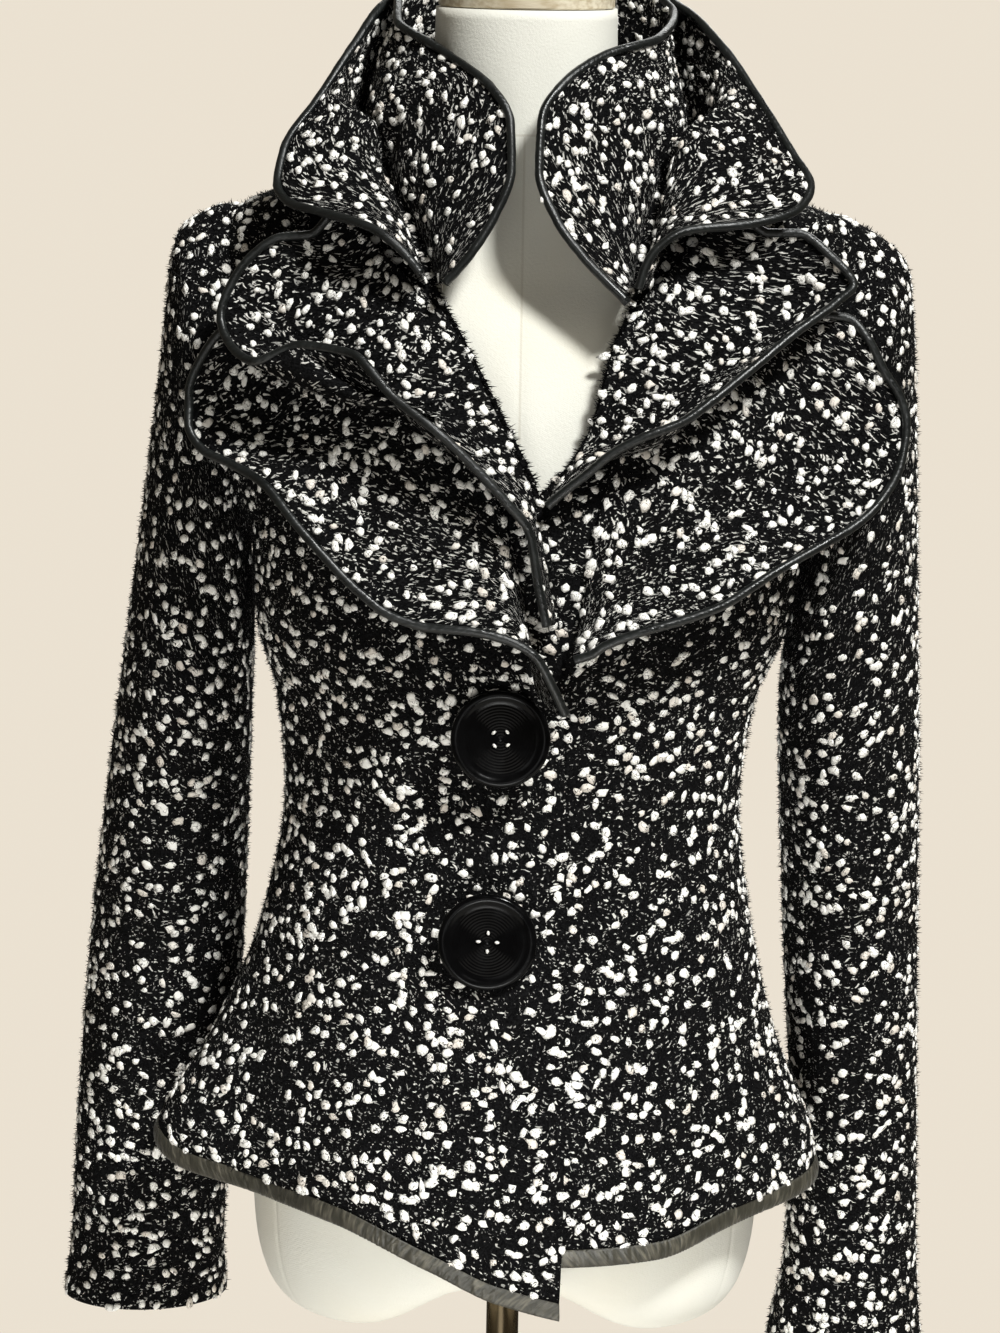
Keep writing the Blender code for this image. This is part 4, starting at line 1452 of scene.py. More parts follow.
@dataclass
class Collar(Tier):
    """One tier of the collar, from the right notch round the back to the left notch.

    Rows give the share of the neckline from notch to middle back, the free edge and the swell.
    """

    right: Rows = ()
    left: Rows = ()
    inward: float = 0.0
    out: float = 0.0
    tuck: float = 0.0
    tuck_angle: float = 5.0
    tuck_depth: float = 3.6
    tuck_drop: float = 4.0
    leaves_edge: tuple[float, float] = (0.34, 0.5)
    seam_lift: float = 0.4
    neck: Rows = (
        (0.0, 0, 1353), (0.2, 0, 1382), (0.38, 0, 1407), (0.55, 90, 1412), (0.78, 135, 1413),
        (1.0, 180, 1414),
    )
    stand: Rows = (
        (0.0, 4, 1, 4), (0.2, 9, 10, 18), (0.34, 5, 17, 26), (0.42, 4, 20, 34), (0.5, 4, 20, 42),
        (0.62, 4, 15, 46), (0.8, 5, 6, 46), (1.0, 6, 0, 46),
    )

    def root(self, sign: int, share: Array, tucked: Array) -> Array:
        """Points of the neckline seam, drawn behind the panels where it is tucked in.

        Args:
            sign: Sign of the wearer's side.
            share: Share from notch to middle back.
            tucked: How far the seam is tucked in.

        Returns:
            The points, in millimetres.
        """
        neck = Table(self.neck, ("angle", "z"))
        z = neck.at("z", share)
        reached = step(*self.leaves_edge, share)
        free = FIGURE.edge_angle(sign, np.minimum(z, FIGURE.neck_top)) - self.inward
        angle = mix(free, np.maximum(free, neck.at("angle", share)), reached)
        lift = z + self.inward * self.seam_lift * reached - self.tuck_drop * tucked * reached
        out = mix(self.out, -self.tuck_depth, tucked) + FIGURE.lap(sign, angle)
        return FIGURE.point(sign, angle + self.tuck_angle * tucked * (1 - reached), lift, out)

    def half(self, sign: int, share: Array, rise: Array) -> Array:
        """Points of one half of the tier.

        Args:
            sign: Sign of the wearer's side.
            share: Share from notch to middle back.
            rise: Share from seam to free edge.

        Returns:
            The points, in millimetres.
        """
        table = Table(self.right if sign < 0 else self.left, ("x", "y", "z", "swell"))
        stand = Table(self.stand, ("reach", "lean", "rise"))
        tucked = np.clip(1 - rise / max(self.tuck, 1e-6), 0, 1) * float(self.tuck > 0)
        rise = np.clip((rise - self.tuck) / (1 - self.tuck), 0, 1)
        root = self.root(sign, share, tucked)
        edge = columns(*(table.at(name, share) for name in "xyz"))
        away = unit(root * (1, 1, 0))
        reach = stand.at("reach", share) + table.at("swell", share)
        ahead = columns(sign * away[:, 1], -sign * away[:, 0], 0.0)
        control = root + away * reach[:, None] + ahead * stand.at("lean", share)[:, None]
        control[:, 2] += stand.at("rise", share)
        return leaf(root, control, edge, rise)

    def surface(self, u: Array, v: Array) -> Array:
        """Points of the tier.

        Args:
            u: Share from right to left.
            v: Share from seam to free edge.

        Returns:
            The points, in millimetres.
        """
        turn = 2 * u - 1
        share = 1 - np.abs(turn)
        right, left = self.half(-1, share, v), self.half(1, share, v)
        return np.where((turn < 0)[:, None], right, left)


@dataclass
class Lapel(Tier):
    """One ruffled lapel tier, from the notch down to the front edge.

    Rows give the root on the front, across and up, then the free edge and the swell.
    """

    side: Side = Side.RIGHT
    rows: Rows = ()
    clear: float = 4.6
    out: float = 2.8
    hug: float = 6.0
    beside: float = 0.01
    belly: float = 0.45
    settled: float = 0.35
    least_facing: float = 0.35

    def ends(self, u: Array) -> tuple[Array, Array, Array]:
        """Root, free edge and swell at places along the lapel.

        Args:
            u: Share from the notch down.

        Returns:
            Roots, free edges and swells.
        """
        row = rows_at(self.rows, ("root_x", "root_z", "x", "y", "z", "swell"), u)
        sign = self.side.value
        angle = FIGURE.angle_at(sign, row["root_x"], row["root_z"])
        root = FIGURE.point(sign, angle, row["root_z"], self.out + FIGURE.lap(sign, angle))
        return root, columns(row["x"], row["y"], row["z"]), row["swell"]

    def surface(self, u: Array, v: Array) -> Array:
        """Points of the lapel, swollen off its line and clear of the front.

        Args:
            u: Share from the notch down.
            v: Share from seam to free edge.

        Returns:
            The points, in millimetres.
        """
        root, edge, swell = self.ends(u)
        after = self.ends(np.minimum(1, u + self.beside))
        before = self.ends(np.maximum(0, u - self.beside))
        across = after[0] - before[0] + after[1] - before[1]
        normal = unit(np.cross(across * -self.side.value, edge - root))
        control = mix(root, edge, self.belly) + normal * swell[:, None] * 2
        spot = leaf(root, control, edge, v)
        lift = mix(self.out, self.clear, step(0, self.settled, v))
        return self.off_front(spot, lift, self.hug * np.minimum(1, 4 * v) + 0.01)

    def off_front(self, spot: Array, lift: Array, softness: Array) -> Array:
        """Moves points forward where they would lie closer than lift to the front.

        Args:
            spot: The points.
            lift: Least distance to the front.
            softness: How softly they turn away.

        Returns:
            The moved points.
        """
        sign = self.side.value
        angle = FIGURE.angle_at(sign, spot[:, 0], spot[:, 2])
        lap = FIGURE.lap(sign, angle)
        cover = FIGURE.point(sign, angle, spot[:, 2], lap)
        outward = cover - FIGURE.point(sign, angle, spot[:, 2], lap + 1)
        facing = np.maximum(self.least_facing, outward[:, 1])
        limit = cover[:, 1] - lift / facing
        past = spot[:, 1] - limit
        return columns(spot[:, 0], limit + (past - np.hypot(past, softness)) / 2, spot[:, 2])


# Bindings


@dataclass
class Piping:
    """Round satin binding along the free edge of a tier."""

    tier: Tier
    node: str
    radius: float = 2.4
    gap: float = -1.1
    sides: int = 12
    steps: int = 220
    pucker: float = 0.05
    pucker_run: float = 1.7
    pucker_slow: float = 0.37

    def build(self, wardrobe: Wardrobe) -> bpy.types.Object:
        """Makes the binding, closed at its ends.

        Args:
            wardrobe: The finishes.

        Returns:
            The piece.
        """
        line, out, along = self.tier.binding(np.linspace(0, 1, self.steps + 1), self.radius, self.gap)
        other = np.cross(along, out)
        turn = np.linspace(0, 2 * np.pi, self.sides + 1)[:, None, None]
        run = np.arange(self.steps + 1)[None, :, None]
        ripple = np.sin(run * self.pucker_run + 2 * np.sin(turn)) * np.sin(run * self.pucker_slow)
        wave = 1 + self.pucker * ripple
        around = out * np.cos(turn) + other * np.sin(turn)
        patch = Patch(line[None] + around * self.radius * wave, around)
        mesh = patch.mesh(self.node, False, True)
        close_ends(mesh)
        made = link(f"{self.node}_binding", mesh, wardrobe.satin)
        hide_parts(self.node)
        LOG.info("%s: %d faces", made.name, len(mesh.polygons))
        return made


@dataclass
class HemBand:
    """Satin ribbon bound round the hem, drawn up into small puckers."""

    node: str
    low: tuple[Side, float]
    high: tuple[Side, float]
    flip: bool
    depth: float = 8.5
    gap: float = -1.0
    cover: float = 0.5
    steps: int = 260
    rows: int = 8
    pucker: float = 0.55
    period: float = 2.6
    drifts: Rows = ((1.4, 9.0), (0.7, 4.1))
    slant: float = 0.18
    calm: float = 0.35
    calm_run: float = 23.0
    crown: float = 0.9
    fade: float = 0.5

    def build(self, wardrobe: Wardrobe) -> bpy.types.Object:
        """Makes the ribbon.

        Args:
            wardrobe: The finishes.

        Returns:
            The piece.
        """
        patch = Patch.of(self.surface, self.steps, self.rows, self.flip)
        run = np.concatenate([[0], np.cumsum(np.linalg.norm(np.diff(patch.points[0], axis=0), axis=1))])
        rows = np.linspace(0, 1, patch.points.shape[0])[:, None]
        phase = sum((size * np.sin(run / length) for size, length in self.drifts), run / self.period)
        strength = mix(self.calm, 1.0, np.sin(run / self.calm_run) ** 2)
        wave = np.sin(2 * np.pi * (phase + self.slant * rows)) * strength
        crown = self.cover + np.sin(np.pi * rows) * self.crown
        patch.points += patch.normals * (wave * self.pucker * (1 - self.fade * rows) + crown)[..., None]
        patch.turn(self.flip, False)
        mesh = patch.mesh(self.node, self.flip, False)
        made = link(f"{self.node}_ribbon", mesh, wardrobe.ribbon)
        add_wall(made)
        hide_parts(self.node)
        LOG.info("%s: %d faces", made.name, len(mesh.polygons))
        return made

    def surface(self, u: Array, v: Array) -> Array:
        """Points of the ribbon.

        Args:
            u: Share along the ribbon.
            v: Share up.

        Returns:
            The points, in millimetres.
        """
        drop = mix(self.depth, self.gap, v)
        (first, start), (last, end) = self.low, self.high
        if first is last:
            return FIGURE.hem(first.value, mix(start, end, u), drop)
        share = 2 * u - 1
        right = FIGURE.hem(-1, 180 - np.abs(share) * (180 - start), drop)
        left = FIGURE.hem(1, 180 - np.abs(share) * (180 - end), drop)
        return np.where((share < 0)[:, None], right, left)


# Buttons


@dataclass
class Button:
    """A turned button with a raised rim, fine rings and four sewn holes."""

    node: str
    across: float
    height: float
    turn: float
    profile: Rows = (
        (0.01, 0), (22, 0), (25, 0.8), (26.2, 2.2), (26.5, 3.4), (26.1, 4.8), (25.0, 5.8), (23.8, 6.2),
        (22.6, 6.0), (21.4, 5.3), (20.4, 4.7),
    )
    rings: int = 12
    ring_start: float = 19.6
    ring_end: float = 0.6
    ring_depth: float = 0.32
    dish: float = 4.3
    hole_radius: float = 1.7
    hole_spread: float = 5.0
    hole_sides: int = 20
    drill: float = 24.0
    seat_reach: float = 22.0
    seat_gap: float = 0.7
    dish_rise: float = 0.25
    thread_radius: float = 1.6
    thread_shape: tuple[float, float, float, float] = (0.95, 1.0, 0.55, 1.0)
    thread_lift: tuple[float, float, float] = (0.2, -3.1, 0.2)
    sharp_angle: float = 38.0

    def seat(self) -> Array:
        """Middle of the button's back, clear of the right front under its whole width.

        Returns:
            The place, in millimetres.
        """
        around = np.radians(np.arange(0, 360, 15))
        x = np.append(self.across + self.seat_reach * np.cos(around), self.across)
        z = np.append(self.height + self.seat_reach * np.sin(around), self.height)
        angle = FIGURE.angle_at(-1, x, z)
        nearest = FIGURE.point(-1, angle, z, FIGURE.lap(-1, angle))[:, 1].min()
        return np.array([self.across, nearest - self.seat_gap, self.height])

    def outline(self) -> list[tuple[float, float]]:
        """Radius and height of the turned face, rings included.

        Returns:
            Radius and height of each point.
        """
        points = list(self.profile)
        for i in range(self.rings * 2):
            share = (i + 0.5) / (self.rings * 2)
            low = self.ring_depth if i % 2 else 0.0
            height = mix(self.dish + self.dish_rise, self.dish, share) - low
            points.append((mix(self.ring_start, self.ring_end, share), height))
        return points + [(0.01, self.dish)]

    def build(self, wardrobe: Wardrobe) -> None:
        """Makes the button and its sewing thread.

        Args:
            wardrobe: The finishes.
        """
        seat = Vector(self.seat() * MM)
        bm = turned([Vector((r, -h, 0)) * MM for r, h in self.outline()], (0, 1, 0))
        bmesh.ops.translate(bm, verts=bm.verts[:], vec=seat)
        solid = bpy.data.objects.new("button_blank", finish_bmesh(self.node, bm))
        holes = bmesh.new()
        threads = bmesh.new()
        for i in range(4):
            way = math.radians(self.turn + 45 + 90 * i)
            spot = Vector((math.cos(way), 0, math.sin(way))) * self.hole_spread * MM
            through = Matrix.Translation(seat + spot) @ Matrix.Rotation(math.radians(90), 4, "X")
            radius = self.hole_radius * MM
            bmesh.ops.create_cone(holes, cap_ends=True, segments=self.hole_sides, radius1=radius,
                                  radius2=radius, depth=self.drill * MM, matrix=through)
            lift = Vector(self.thread_lift) * MM
            sewn = Matrix.Translation(seat + spot + lift) @ Matrix.Rotation(way, 4, "Y")
            bmesh.ops.create_icosphere(threads, subdivisions=2, radius=self.thread_radius * MM,
                                       matrix=sewn @ Matrix.Diagonal(self.thread_shape))
        cutter = bpy.data.objects.new("button_holes", finish_bmesh("button_holes", holes))
        for part in (solid, cutter):
            bpy.context.scene.collection.objects.link(part)
        cut = solid.modifiers.new("holes", "BOOLEAN")
        cut.operation = "DIFFERENCE"
        cut.object = cutter
        drilled = bpy.data.meshes.new_from_object(solid.evaluated_get(bpy.context.evaluated_depsgraph_get()))
        for part in (solid, cutter):
            bpy.data.objects.remove(part, do_unlink=True)
        made = link(f"{self.node}_turned", drilled, wardrobe.gloss)
        drilled.set_sharp_from_angle(angle=math.radians(self.sharp_angle))
        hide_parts(self.node)
        link(f"{self.node}_thread", finish_bmesh(f"{self.node}_thread", threads), wardrobe.thread)
        LOG.info("%s: %d faces", made.name, len(drilled.polygons))


# Dress form and stand


@dataclass
class DressForm:
    """Limbless form under the cloth, its wooden cap, pole and base plate.

    Rows give height, half width, depth to the front and to the back, and the share of the arch
    under the body that the ring takes.
    """

    rows: Rows = (
        (776, 15, 15, 15, 1.0), (775, 60, 40, 44, 1.0), (777, 99, 78, 71, 1.0),
        (783, 120, 99, 89, 0.85), (800, 133, 111, 101, 0.5), (828, 139, 117, 107, 0.1),
        (870, 141, 119, 110, 0.0), (940, 130, 109, 106, 0.0), (1000, 120, 95, 90, 0.0),
        (1065, 114, 86, 80, 0.0), (1120, 119, 94, 83, 0.0), (1165, 128, 104, 88, 0.0),
        (1215, 137, 110, 92, 0.0), (1275, 142, 100, 94, 0.0), (1325, 143, 82, 90, 0.0),
        (1356, 140, 62, 78, 0.0), (1384, 144, 51, 68, 0.0), (1400, 116, 48, 60.5, 0.0),
        (1411, 73, 48, 55, 0.0), (1428, 55, 49, 50, 0.0), (1458, 50, 48, 48, 0.0),
        (1496, 49, 47, 47, 0.0),
    )
    arch: float = 32.0
    arch_flat: float = 17.0
    arch_run: float = 38.0
    sides: int = 112
    up: int = 150
    seam_width: float = 1.3
    seam_depth: float = 0.5
    seam_angles: tuple[float, ...] = (0.0, 62.0, -62.0, 180.0, 118.0, -118.0)
    seam_rows: tuple[float, float] = (0.12, 0.2)
    seam_draw: float = 0.13
    sharp_angle: float = 35.0
    cap: Rows = (
        (0.01, 1496.4), (46.6, 1496.4), (47.6, 1497.2), (47.8, 1506), (46.8, 1508.6), (44.4, 1510.8),
        (41, 1512), (14, 1512), (12.5, 1511.2), (0.01, 1511),
    )
    pole: Rows = ((0.01, 8.4), (8.6, 8.4), (9, 9), (9, 640), (9, 807), (8.6, 807.6), (0.01, 807.6))
    base: Rows = (
        (0.01, 0), (173, 0), (175, 1.4), (175, 5.6), (174.2, 7.2), (172.4, 8), (24, 8), (0.01, 8),
    )

    def surface(self, u: Array, v: Array) -> Array:
        """Points of the form.

        Args:
            u: Share round the form.
            v: Share from the first row to the last.

        Returns:
            The points, in millimetres.
        """
        row = rows_at(self.rows, ("z", "half", "front", "back", "arch"), v)
        angle = 360 * u - 180
        x, y, out_x, out_y = FIGURE.ring(row["half"], row["front"], row["back"], angle)
        past = np.maximum(0, np.abs(x) - self.arch_flat) / self.arch_run
        z = row["z"] + self.arch * row["arch"] * np.exp(-past * past)
        groove = np.exp(-(((z - NECK_SEAM) / self.seam_width) ** 2))
        below = step(NECK_SEAM + 4, NECK_SEAM - 2, z) * step(*self.seam_rows, v)
        for seam in self.seam_angles:
            away = np.abs((angle - seam + 180) % 360 - 180) * row["half"] * math.pi / 180
            groove = np.maximum(groove, below * np.exp(-((away / self.seam_width) ** 2)))
        return columns(x - out_x * groove * self.seam_depth, y - out_y * groove * self.seam_depth, z)

    def shares(self, u: Array, v: Array) -> Array:
        """Points with the columns drawn close beside the seams.

        Args:
            u: Share round the form.
            v: Share from the first row to the last.

        Returns:
            The points, in millimetres.
        """
        keys = np.unique([0.0, *((seam + 180) / 360 for seam in self.seam_angles), 1.0])
        place = np.searchsorted(keys, u, side="right").clip(1, len(keys) - 1)
        low, high = keys[place - 1], keys[place]
        share = np.where(high > low, (u - low) / np.maximum(high - low, 1e-9), 0)
        eased = share - self.seam_draw * np.sin(2 * np.pi * share)
        return self.surface(mix(low, high, eased), v)

    def build(self, wardrobe: Wardrobe) -> None:
        """Makes the form, cap, pole and base.

        Args:
            wardrobe: The finishes.
        """
        patch = Patch.of(self.shares, self.sides, self.up, False, True)
        mesh = patch.mesh("form_torso", False, True)
        close_ends(mesh)
        torso = link("form_torso_cover", mesh, wardrobe.cover)
        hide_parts("form_torso")
        LOG.info("%s: %d faces", torso.name, len(mesh.polygons))
        self.stand_piece("form_cap", self.cap, wardrobe.wood)
        self.stand_piece("stand_pole", self.pole, wardrobe.steel)
        self.stand_piece("stand_base", self.base, wardrobe.paint)

    def stand_piece(self, node: str, profile: Rows, material: bpy.types.Material) -> None:
        """Makes a turned piece of the stand.

        Args:
            node: The node that it stands for.
            profile: Radius and height, from the axis round to the axis.
            material: Its finish.
        """
        bm = turned([Vector((r, 0, z)) * MM for r, z in profile], (0, 0, 1))
        made = link(f"{node}_turned", finish_bmesh(node, bm), material)
        made.data.set_sharp_from_angle(angle=math.radians(self.sharp_angle))
        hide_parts(node)
        LOG.info("%s: %d faces", made.name, len(made.data.polygons))


# The blazer


COLLAR_INNER_RIGHT: Rows = (
    (0.00, -41, -104, 1355, 0), (0.09, -28, -101, 1371, 0), (0.18, -16, -95, 1391, 0),
    (0.26, -8, -87, 1414, 0), (0.34, -9, -79, 1438, 0), (0.42, -19, -69, 1455, 0),
    (0.52, -44, -46, 1472, 0), (0.64, -70, -14, 1488, 0), (0.78, -70, 26, 1502, 0),
    (0.90, -42, 66, 1514, 0), (1.00, 0, 84, 1520, 0),
)
COLLAR_INNER_LEFT: Rows = (
    (0.00, 56, -105, 1347, 0), (0.09, 32, -100, 1371, 0), (0.18, 18, -95, 1390, 0),
    (0.26, 9, -87, 1414, 0), (0.34, 10, -78, 1440, 0), (0.42, 20, -68, 1457, 0),
    (0.52, 42, -48, 1472, 0), (0.64, 72, -20, 1481, 0), (0.78, 80, 26, 1492, 0),
    (0.90, 44, 66, 1514, 0), (1.00, 0, 84, 1520, 0),
)
COLLAR_OUTER_RIGHT: Rows = (
    (0.00, -53, -106, 1360, 6), (0.07, -63, -105, 1372, 8), (0.14, -80, -99, 1384, 8),
    (0.22, -107, -84, 1391, 6), (0.29, -122, -71, 1394, 6), (0.35, -130, -56, 1403, 5),
    (0.42, -127, -41, 1421, 3), (0.50, -111, -18, 1445, -4), (0.60, -93, 8, 1472, -12),
    (0.72, -78, 34, 1494, -4), (0.86, -46, 88, 1508, -2), (1.00, 0, 106, 1512, -2),
)
COLLAR_OUTER_LEFT: Rows = (
    (0.00, 61, -106, 1354, 6), (0.07, 67, -105, 1371, 8), (0.14, 85, -101, 1385, 8),
    (0.22, 119, -90, 1389, 8), (0.29, 144, -74, 1396, 8), (0.35, 151, -60, 1407, 6),
    (0.42, 141, -42, 1424, 4), (0.50, 125, -19, 1449, 2), (0.60, 105, 8, 1476, 0),
    (0.72, 86, 34, 1494, -4), (0.86, 50, 88, 1508, -2), (1.00, 0, 106, 1512, -2),
)
UPPER_RIGHT: Rows = (
    (-50, 1348, -98, -74, 1391, 2), (-45, 1342, -112, -73, 1376, 4), (-40, 1337, -128, -71, 1374, 9),
    (-35, 1331, -148, -74, 1358, 16), (-31, 1324, -158, -78, 1334, 20),
    (-27, 1317, -152, -90, 1319, 20), (-22, 1308, -138, -106, 1312, 18),
    (-17, 1298, -114, -112, 1321, 18), (-12, 1288, -88, -122, 1318, 16),
    (-6, 1277, -65, -135, 1297, 14), (0, 1264, -38, -144, 1277, 10),
    (7, 1249, -8, -144, 1247, 6), (12, 1228, 6, -139, 1229, 2),
    (17, 1200, 13, -136, 1198, 0), (21, 1180, 17, -134, 1180, 0),
)
UPPER_LEFT: Rows = (
    (62, 1346, 112, -74, 1394, 2), (59, 1340, 130, -71, 1381, 4), (55, 1333, 145, -70, 1381, 9),
    (51, 1326, 161, -73, 1371, 14), (48, 1319, 174, -75, 1356, 16),
    (46, 1312, 164, -86, 1346, 16), (44, 1304, 143, -103, 1332, 16),
    (42, 1296, 120, -118, 1314, 16), (40, 1288, 99, -131, 1298, 14),
    (37, 1280, 83, -137, 1287, 12), (34, 1274, 63, -140, 1279, 8),
    (30, 1268, 48, -140, 1271, 4), (26, 1261, 35, -138, 1260, 2),
    (22, 1255, 24, -136, 1251, 1), (18, 1250, 15, -133, 1243, 0),
)
LOWER_RIGHT: Rows = (
    (-50, 1334, -146, -70, 1332, 4), (-48, 1328, -161, -68, 1321, 6),
    (-46, 1321, -175, -67, 1292, 10), (-43, 1314, -175, -71, 1276, 12),
    (-40, 1306, -167, -79, 1263, 12), (-37, 1298, -152, -88, 1257, 12),
    (-33, 1290, -135, -100, 1249, 10), (-29, 1281, -112, -118, 1225, 9),
    (-24, 1270, -82, -131, 1196, 8), (-18, 1258, -64, -136, 1184, 8),
    (-12, 1246, -45, -139, 1179, 8), (-6, 1232, -25, -142, 1178, 6),
    (-1, 1214, -5, -143, 1174, 4), (4, 1192, 9, -142, 1166, 3),
    (8, 1168, 18, -138, 1150, 2), (13, 1142, 26, -131, 1132, 1),
)
LOWER_LEFT: Rows = (
    (67, 1332, 156, -64, 1338, 4), (66, 1327, 173, -63, 1336, 6),
    (64, 1321, 184, -66, 1325, 8), (62, 1315, 193, -66, 1308, 10),
    (60, 1309, 202, -66, 1294, 12), (58, 1302, 205, -68, 1280, 12),
    (56, 1294, 202, -74, 1261, 12), (54, 1286, 192, -82, 1243, 12),
    (52, 1278, 179, -90, 1231, 12), (50, 1269, 160, -103, 1221, 12),
    (47, 1258, 136, -117, 1209, 10), (44, 1244, 106, -128, 1191, 8),
    (41, 1228, 86, -132, 1184, 6), (38, 1210, 62, -135, 1177, 4),
    (35, 1192, 46, -134, 1170, 2), (33, 1178, 39, -132, 1165, 0), (31, 1172, 31, -130, 1162, 0),
)
SLEEVE_RIGHT: Rows = (
    (147, 1214, 180, 1392, 12, 54), (146, 1196, 191, 1358, 13, 60), (144, 1162, 197, 1298, 14, 62),
    (145, 1118, 209, 1195, 18, 60), (147, 1050, 226, 1060, 34, 55), (150, 970, 236, 970, 50, 50),
    (156, 860, 244, 860, 63, 46), (160, 797, 247, 795, 66, 46), (158, 763, 251, 761, 66, 49),
)
SLEEVE_LEFT: Rows = (
    (159, 1214, 198, 1384, 12, 54), (156.5, 1196, 212, 1352, 13, 60), (150.5, 1162, 217, 1290, 14, 62),
    (147, 1118, 221, 1195, 18, 60), (150, 1050, 227, 1060, 34, 55), (155, 970, 230, 970, 50, 50),
    (162, 860, 234, 860, 63, 46), (161, 797, 236, 795, 66, 46), (152, 742, 240, 740, 66, 49),
)

FOLDS: dict[str, tuple[Fold, ...]] = {
    "front_right": (
        Fold((-115, 1156), (-103, 1031), 14, 3.0), Fold((-94, 1022), (-132, 864), 18, -4.0),
        Fold((-58, 996), (-51, 843), 16, 3.5), Fold((-40, 1110), (-100, 1128), 7, 1.2),
    ),
    "front_left": (
        Fold((101, 1150), (96, 1036), 14, 3.0), Fold((75, 988), (99, 846), 16, 3.5),
        Fold((113, 993), (135, 855), 16, -3.5),
    ),
    "back": (
        Fold((-60, 1040), (-84, 880), 18, -4.0, 1.0), Fold((60, 1040), (84, 880), 18, -4.0, 1.0),
        Fold((0, 1060), (0, 876), 16, 3.5, 1.0), Fold((-70, 1180), (-62, 1040), 12, 2.0, 1.0),
        Fold((70, 1180), (62, 1040), 12, 2.0, 1.0),
    ),
    "sleeve_right": (
        Fold((-204, 1172), (-147, 1192), 9, 3.0), Fold((-208, 1143), (-149, 1153), 8, 2.4),
        Fold((-230, 984), (-152, 968), 12, 2.4), Fold((-248, 802), (-158, 804), 4, 1.4),
        Fold((-215, 1070), (-160, 1048), 10, 2.0),
    ),
    "sleeve_left": (
        Fold((153, 1204), (214, 1183), 9, 3.0), Fold((152, 1159), (214, 1127), 9, 2.6),
        Fold((157, 974), (219, 992), 12, 2.4), Fold((160, 800), (236, 800), 4, 1.4),
        Fold((165, 1068), (222, 1046), 10, 2.0),
    ),
}


class Blazer:
    """All cloth, bindings and buttons of the blazer."""

    def __init__(self) -> None:
        """Lists the pieces in the order in which they are sewn."""
        hung = {"held": Held.HUNG, "rests_on": ("form_torso_cover",)}
        self.fronts = [
            Front(f"front_{side.word}", 50, 140, side is Side.RIGHT, **hung, side=side,
                  folds=FOLDS[f"front_{side.word}"], seed=11 + i)
            for i, side in enumerate(Side)
        ]
        self.back = Back("back", 84, 140, True, **hung, folds=FOLDS["back"], seed=21)
        self.sleeves = [
            Sleeve(f"sleeve_{side.word}", 64, 130, side is Side.RIGHT, Held.HUNG,
                   (f"front_{side.word}_cloth", "back_cloth"), True, side=side, rows=rows,
                   folds=FOLDS[f"sleeve_{side.word}"], seed=31 + i)
            for i, (side, rows) in enumerate(zip(Side, (SLEEVE_RIGHT, SLEEVE_LEFT)))
        ]
        neck = ("front_right_cloth", "front_left_cloth", "back_cloth")
        self.collars = [
            Collar("collar_inner", 170, 22, True, Held.FOLDED, neck, two_faced=True, weft_turn=8,
                   right=COLLAR_INNER_RIGHT, left=COLLAR_INNER_LEFT, inward=0.45, out=-1.2,
                   tuck=1 / 22, seed=41),
            Collar("collar_outer", 170, 22, False, Held.FOLDED, neck, two_faced=True, weft_turn=-12,
                   right=COLLAR_OUTER_RIGHT, left=COLLAR_OUTER_LEFT, inward=-1.0, out=3.4, seed=42),
        ]
        cuts = ((Side.RIGHT, "upper", UPPER_RIGHT, 12.0, 40), (Side.LEFT, "upper", UPPER_LEFT, 12.0, -62),
                (Side.RIGHT, "lower", LOWER_RIGHT, 4.6, 35), (Side.LEFT, "lower", LOWER_LEFT, 4.6, -40))
        self.lapels = [
            Lapel(f"lapel_{word}_{side.word}", 96, 24, side is Side.RIGHT, Held.GATHERED,
                  (f"front_{side.word}_cloth",), side=side, rows=rows, clear=clear,
                  weft_turn=turn, seed=51 + i)
            for i, (side, word, rows, clear, turn) in enumerate(cuts)
        ]
        self.cloths: list[Cloth] = [*self.fronts, self.back, *self.sleeves, *self.collars, *self.lapels]
        self.buttons = [Button("button_upper", -7, 1116, 4.0), Button("button_lower", -12, 1006, 43.0)]

    def hems(self) -> dict[str, HemBand]:
        """The ribbon of each panel, by the panel's node.

        Returns:
            The ribbons.
        """
        seam = 90 - FIGURE.seam_angle
        bands = {
            f"front_{side.word}": HemBand(
                f"hem_{side.word}", (side, float(FIGURE.edge_angle(side.value, FIGURE.skirt_level))),
                (side, seam), side is Side.RIGHT)
            for side in Side
        }
        bands["back"] = HemBand("hem_back", (Side.RIGHT, seam), (Side.LEFT, seam), True, steps=420)
        return bands

    def build(self, wardrobe: Wardrobe) -> None:
        """Args:
            wardrobe: The finishes.
        """
        points: list = []
        cells: list = []
        for cloth in self.cloths:
            cloth.shape()
            found, faces = cloth.patch.polygons()
            cells += [[corner + len(points) for corner in face] for face in faces]
            points += found
        nap = Nap(obstacles=BVHTree.FromPolygons(points, cells))
        bands = self.hems()
        for cloth in self.cloths:
            made = cloth.build(wardrobe, nap)
            trims = []
            if cloth.node in bands:
                trims.append(bands[cloth.node].build(wardrobe))
            if isinstance(cloth, Tier):
                node = f"piping_{cloth.node.removeprefix('lapel_')}"
                trims.append(Piping(cloth, node).build(wardrobe))
            cloth.declare(made, trims)
        for button in self.buttons:
            button.build(wardrobe)


# Studio


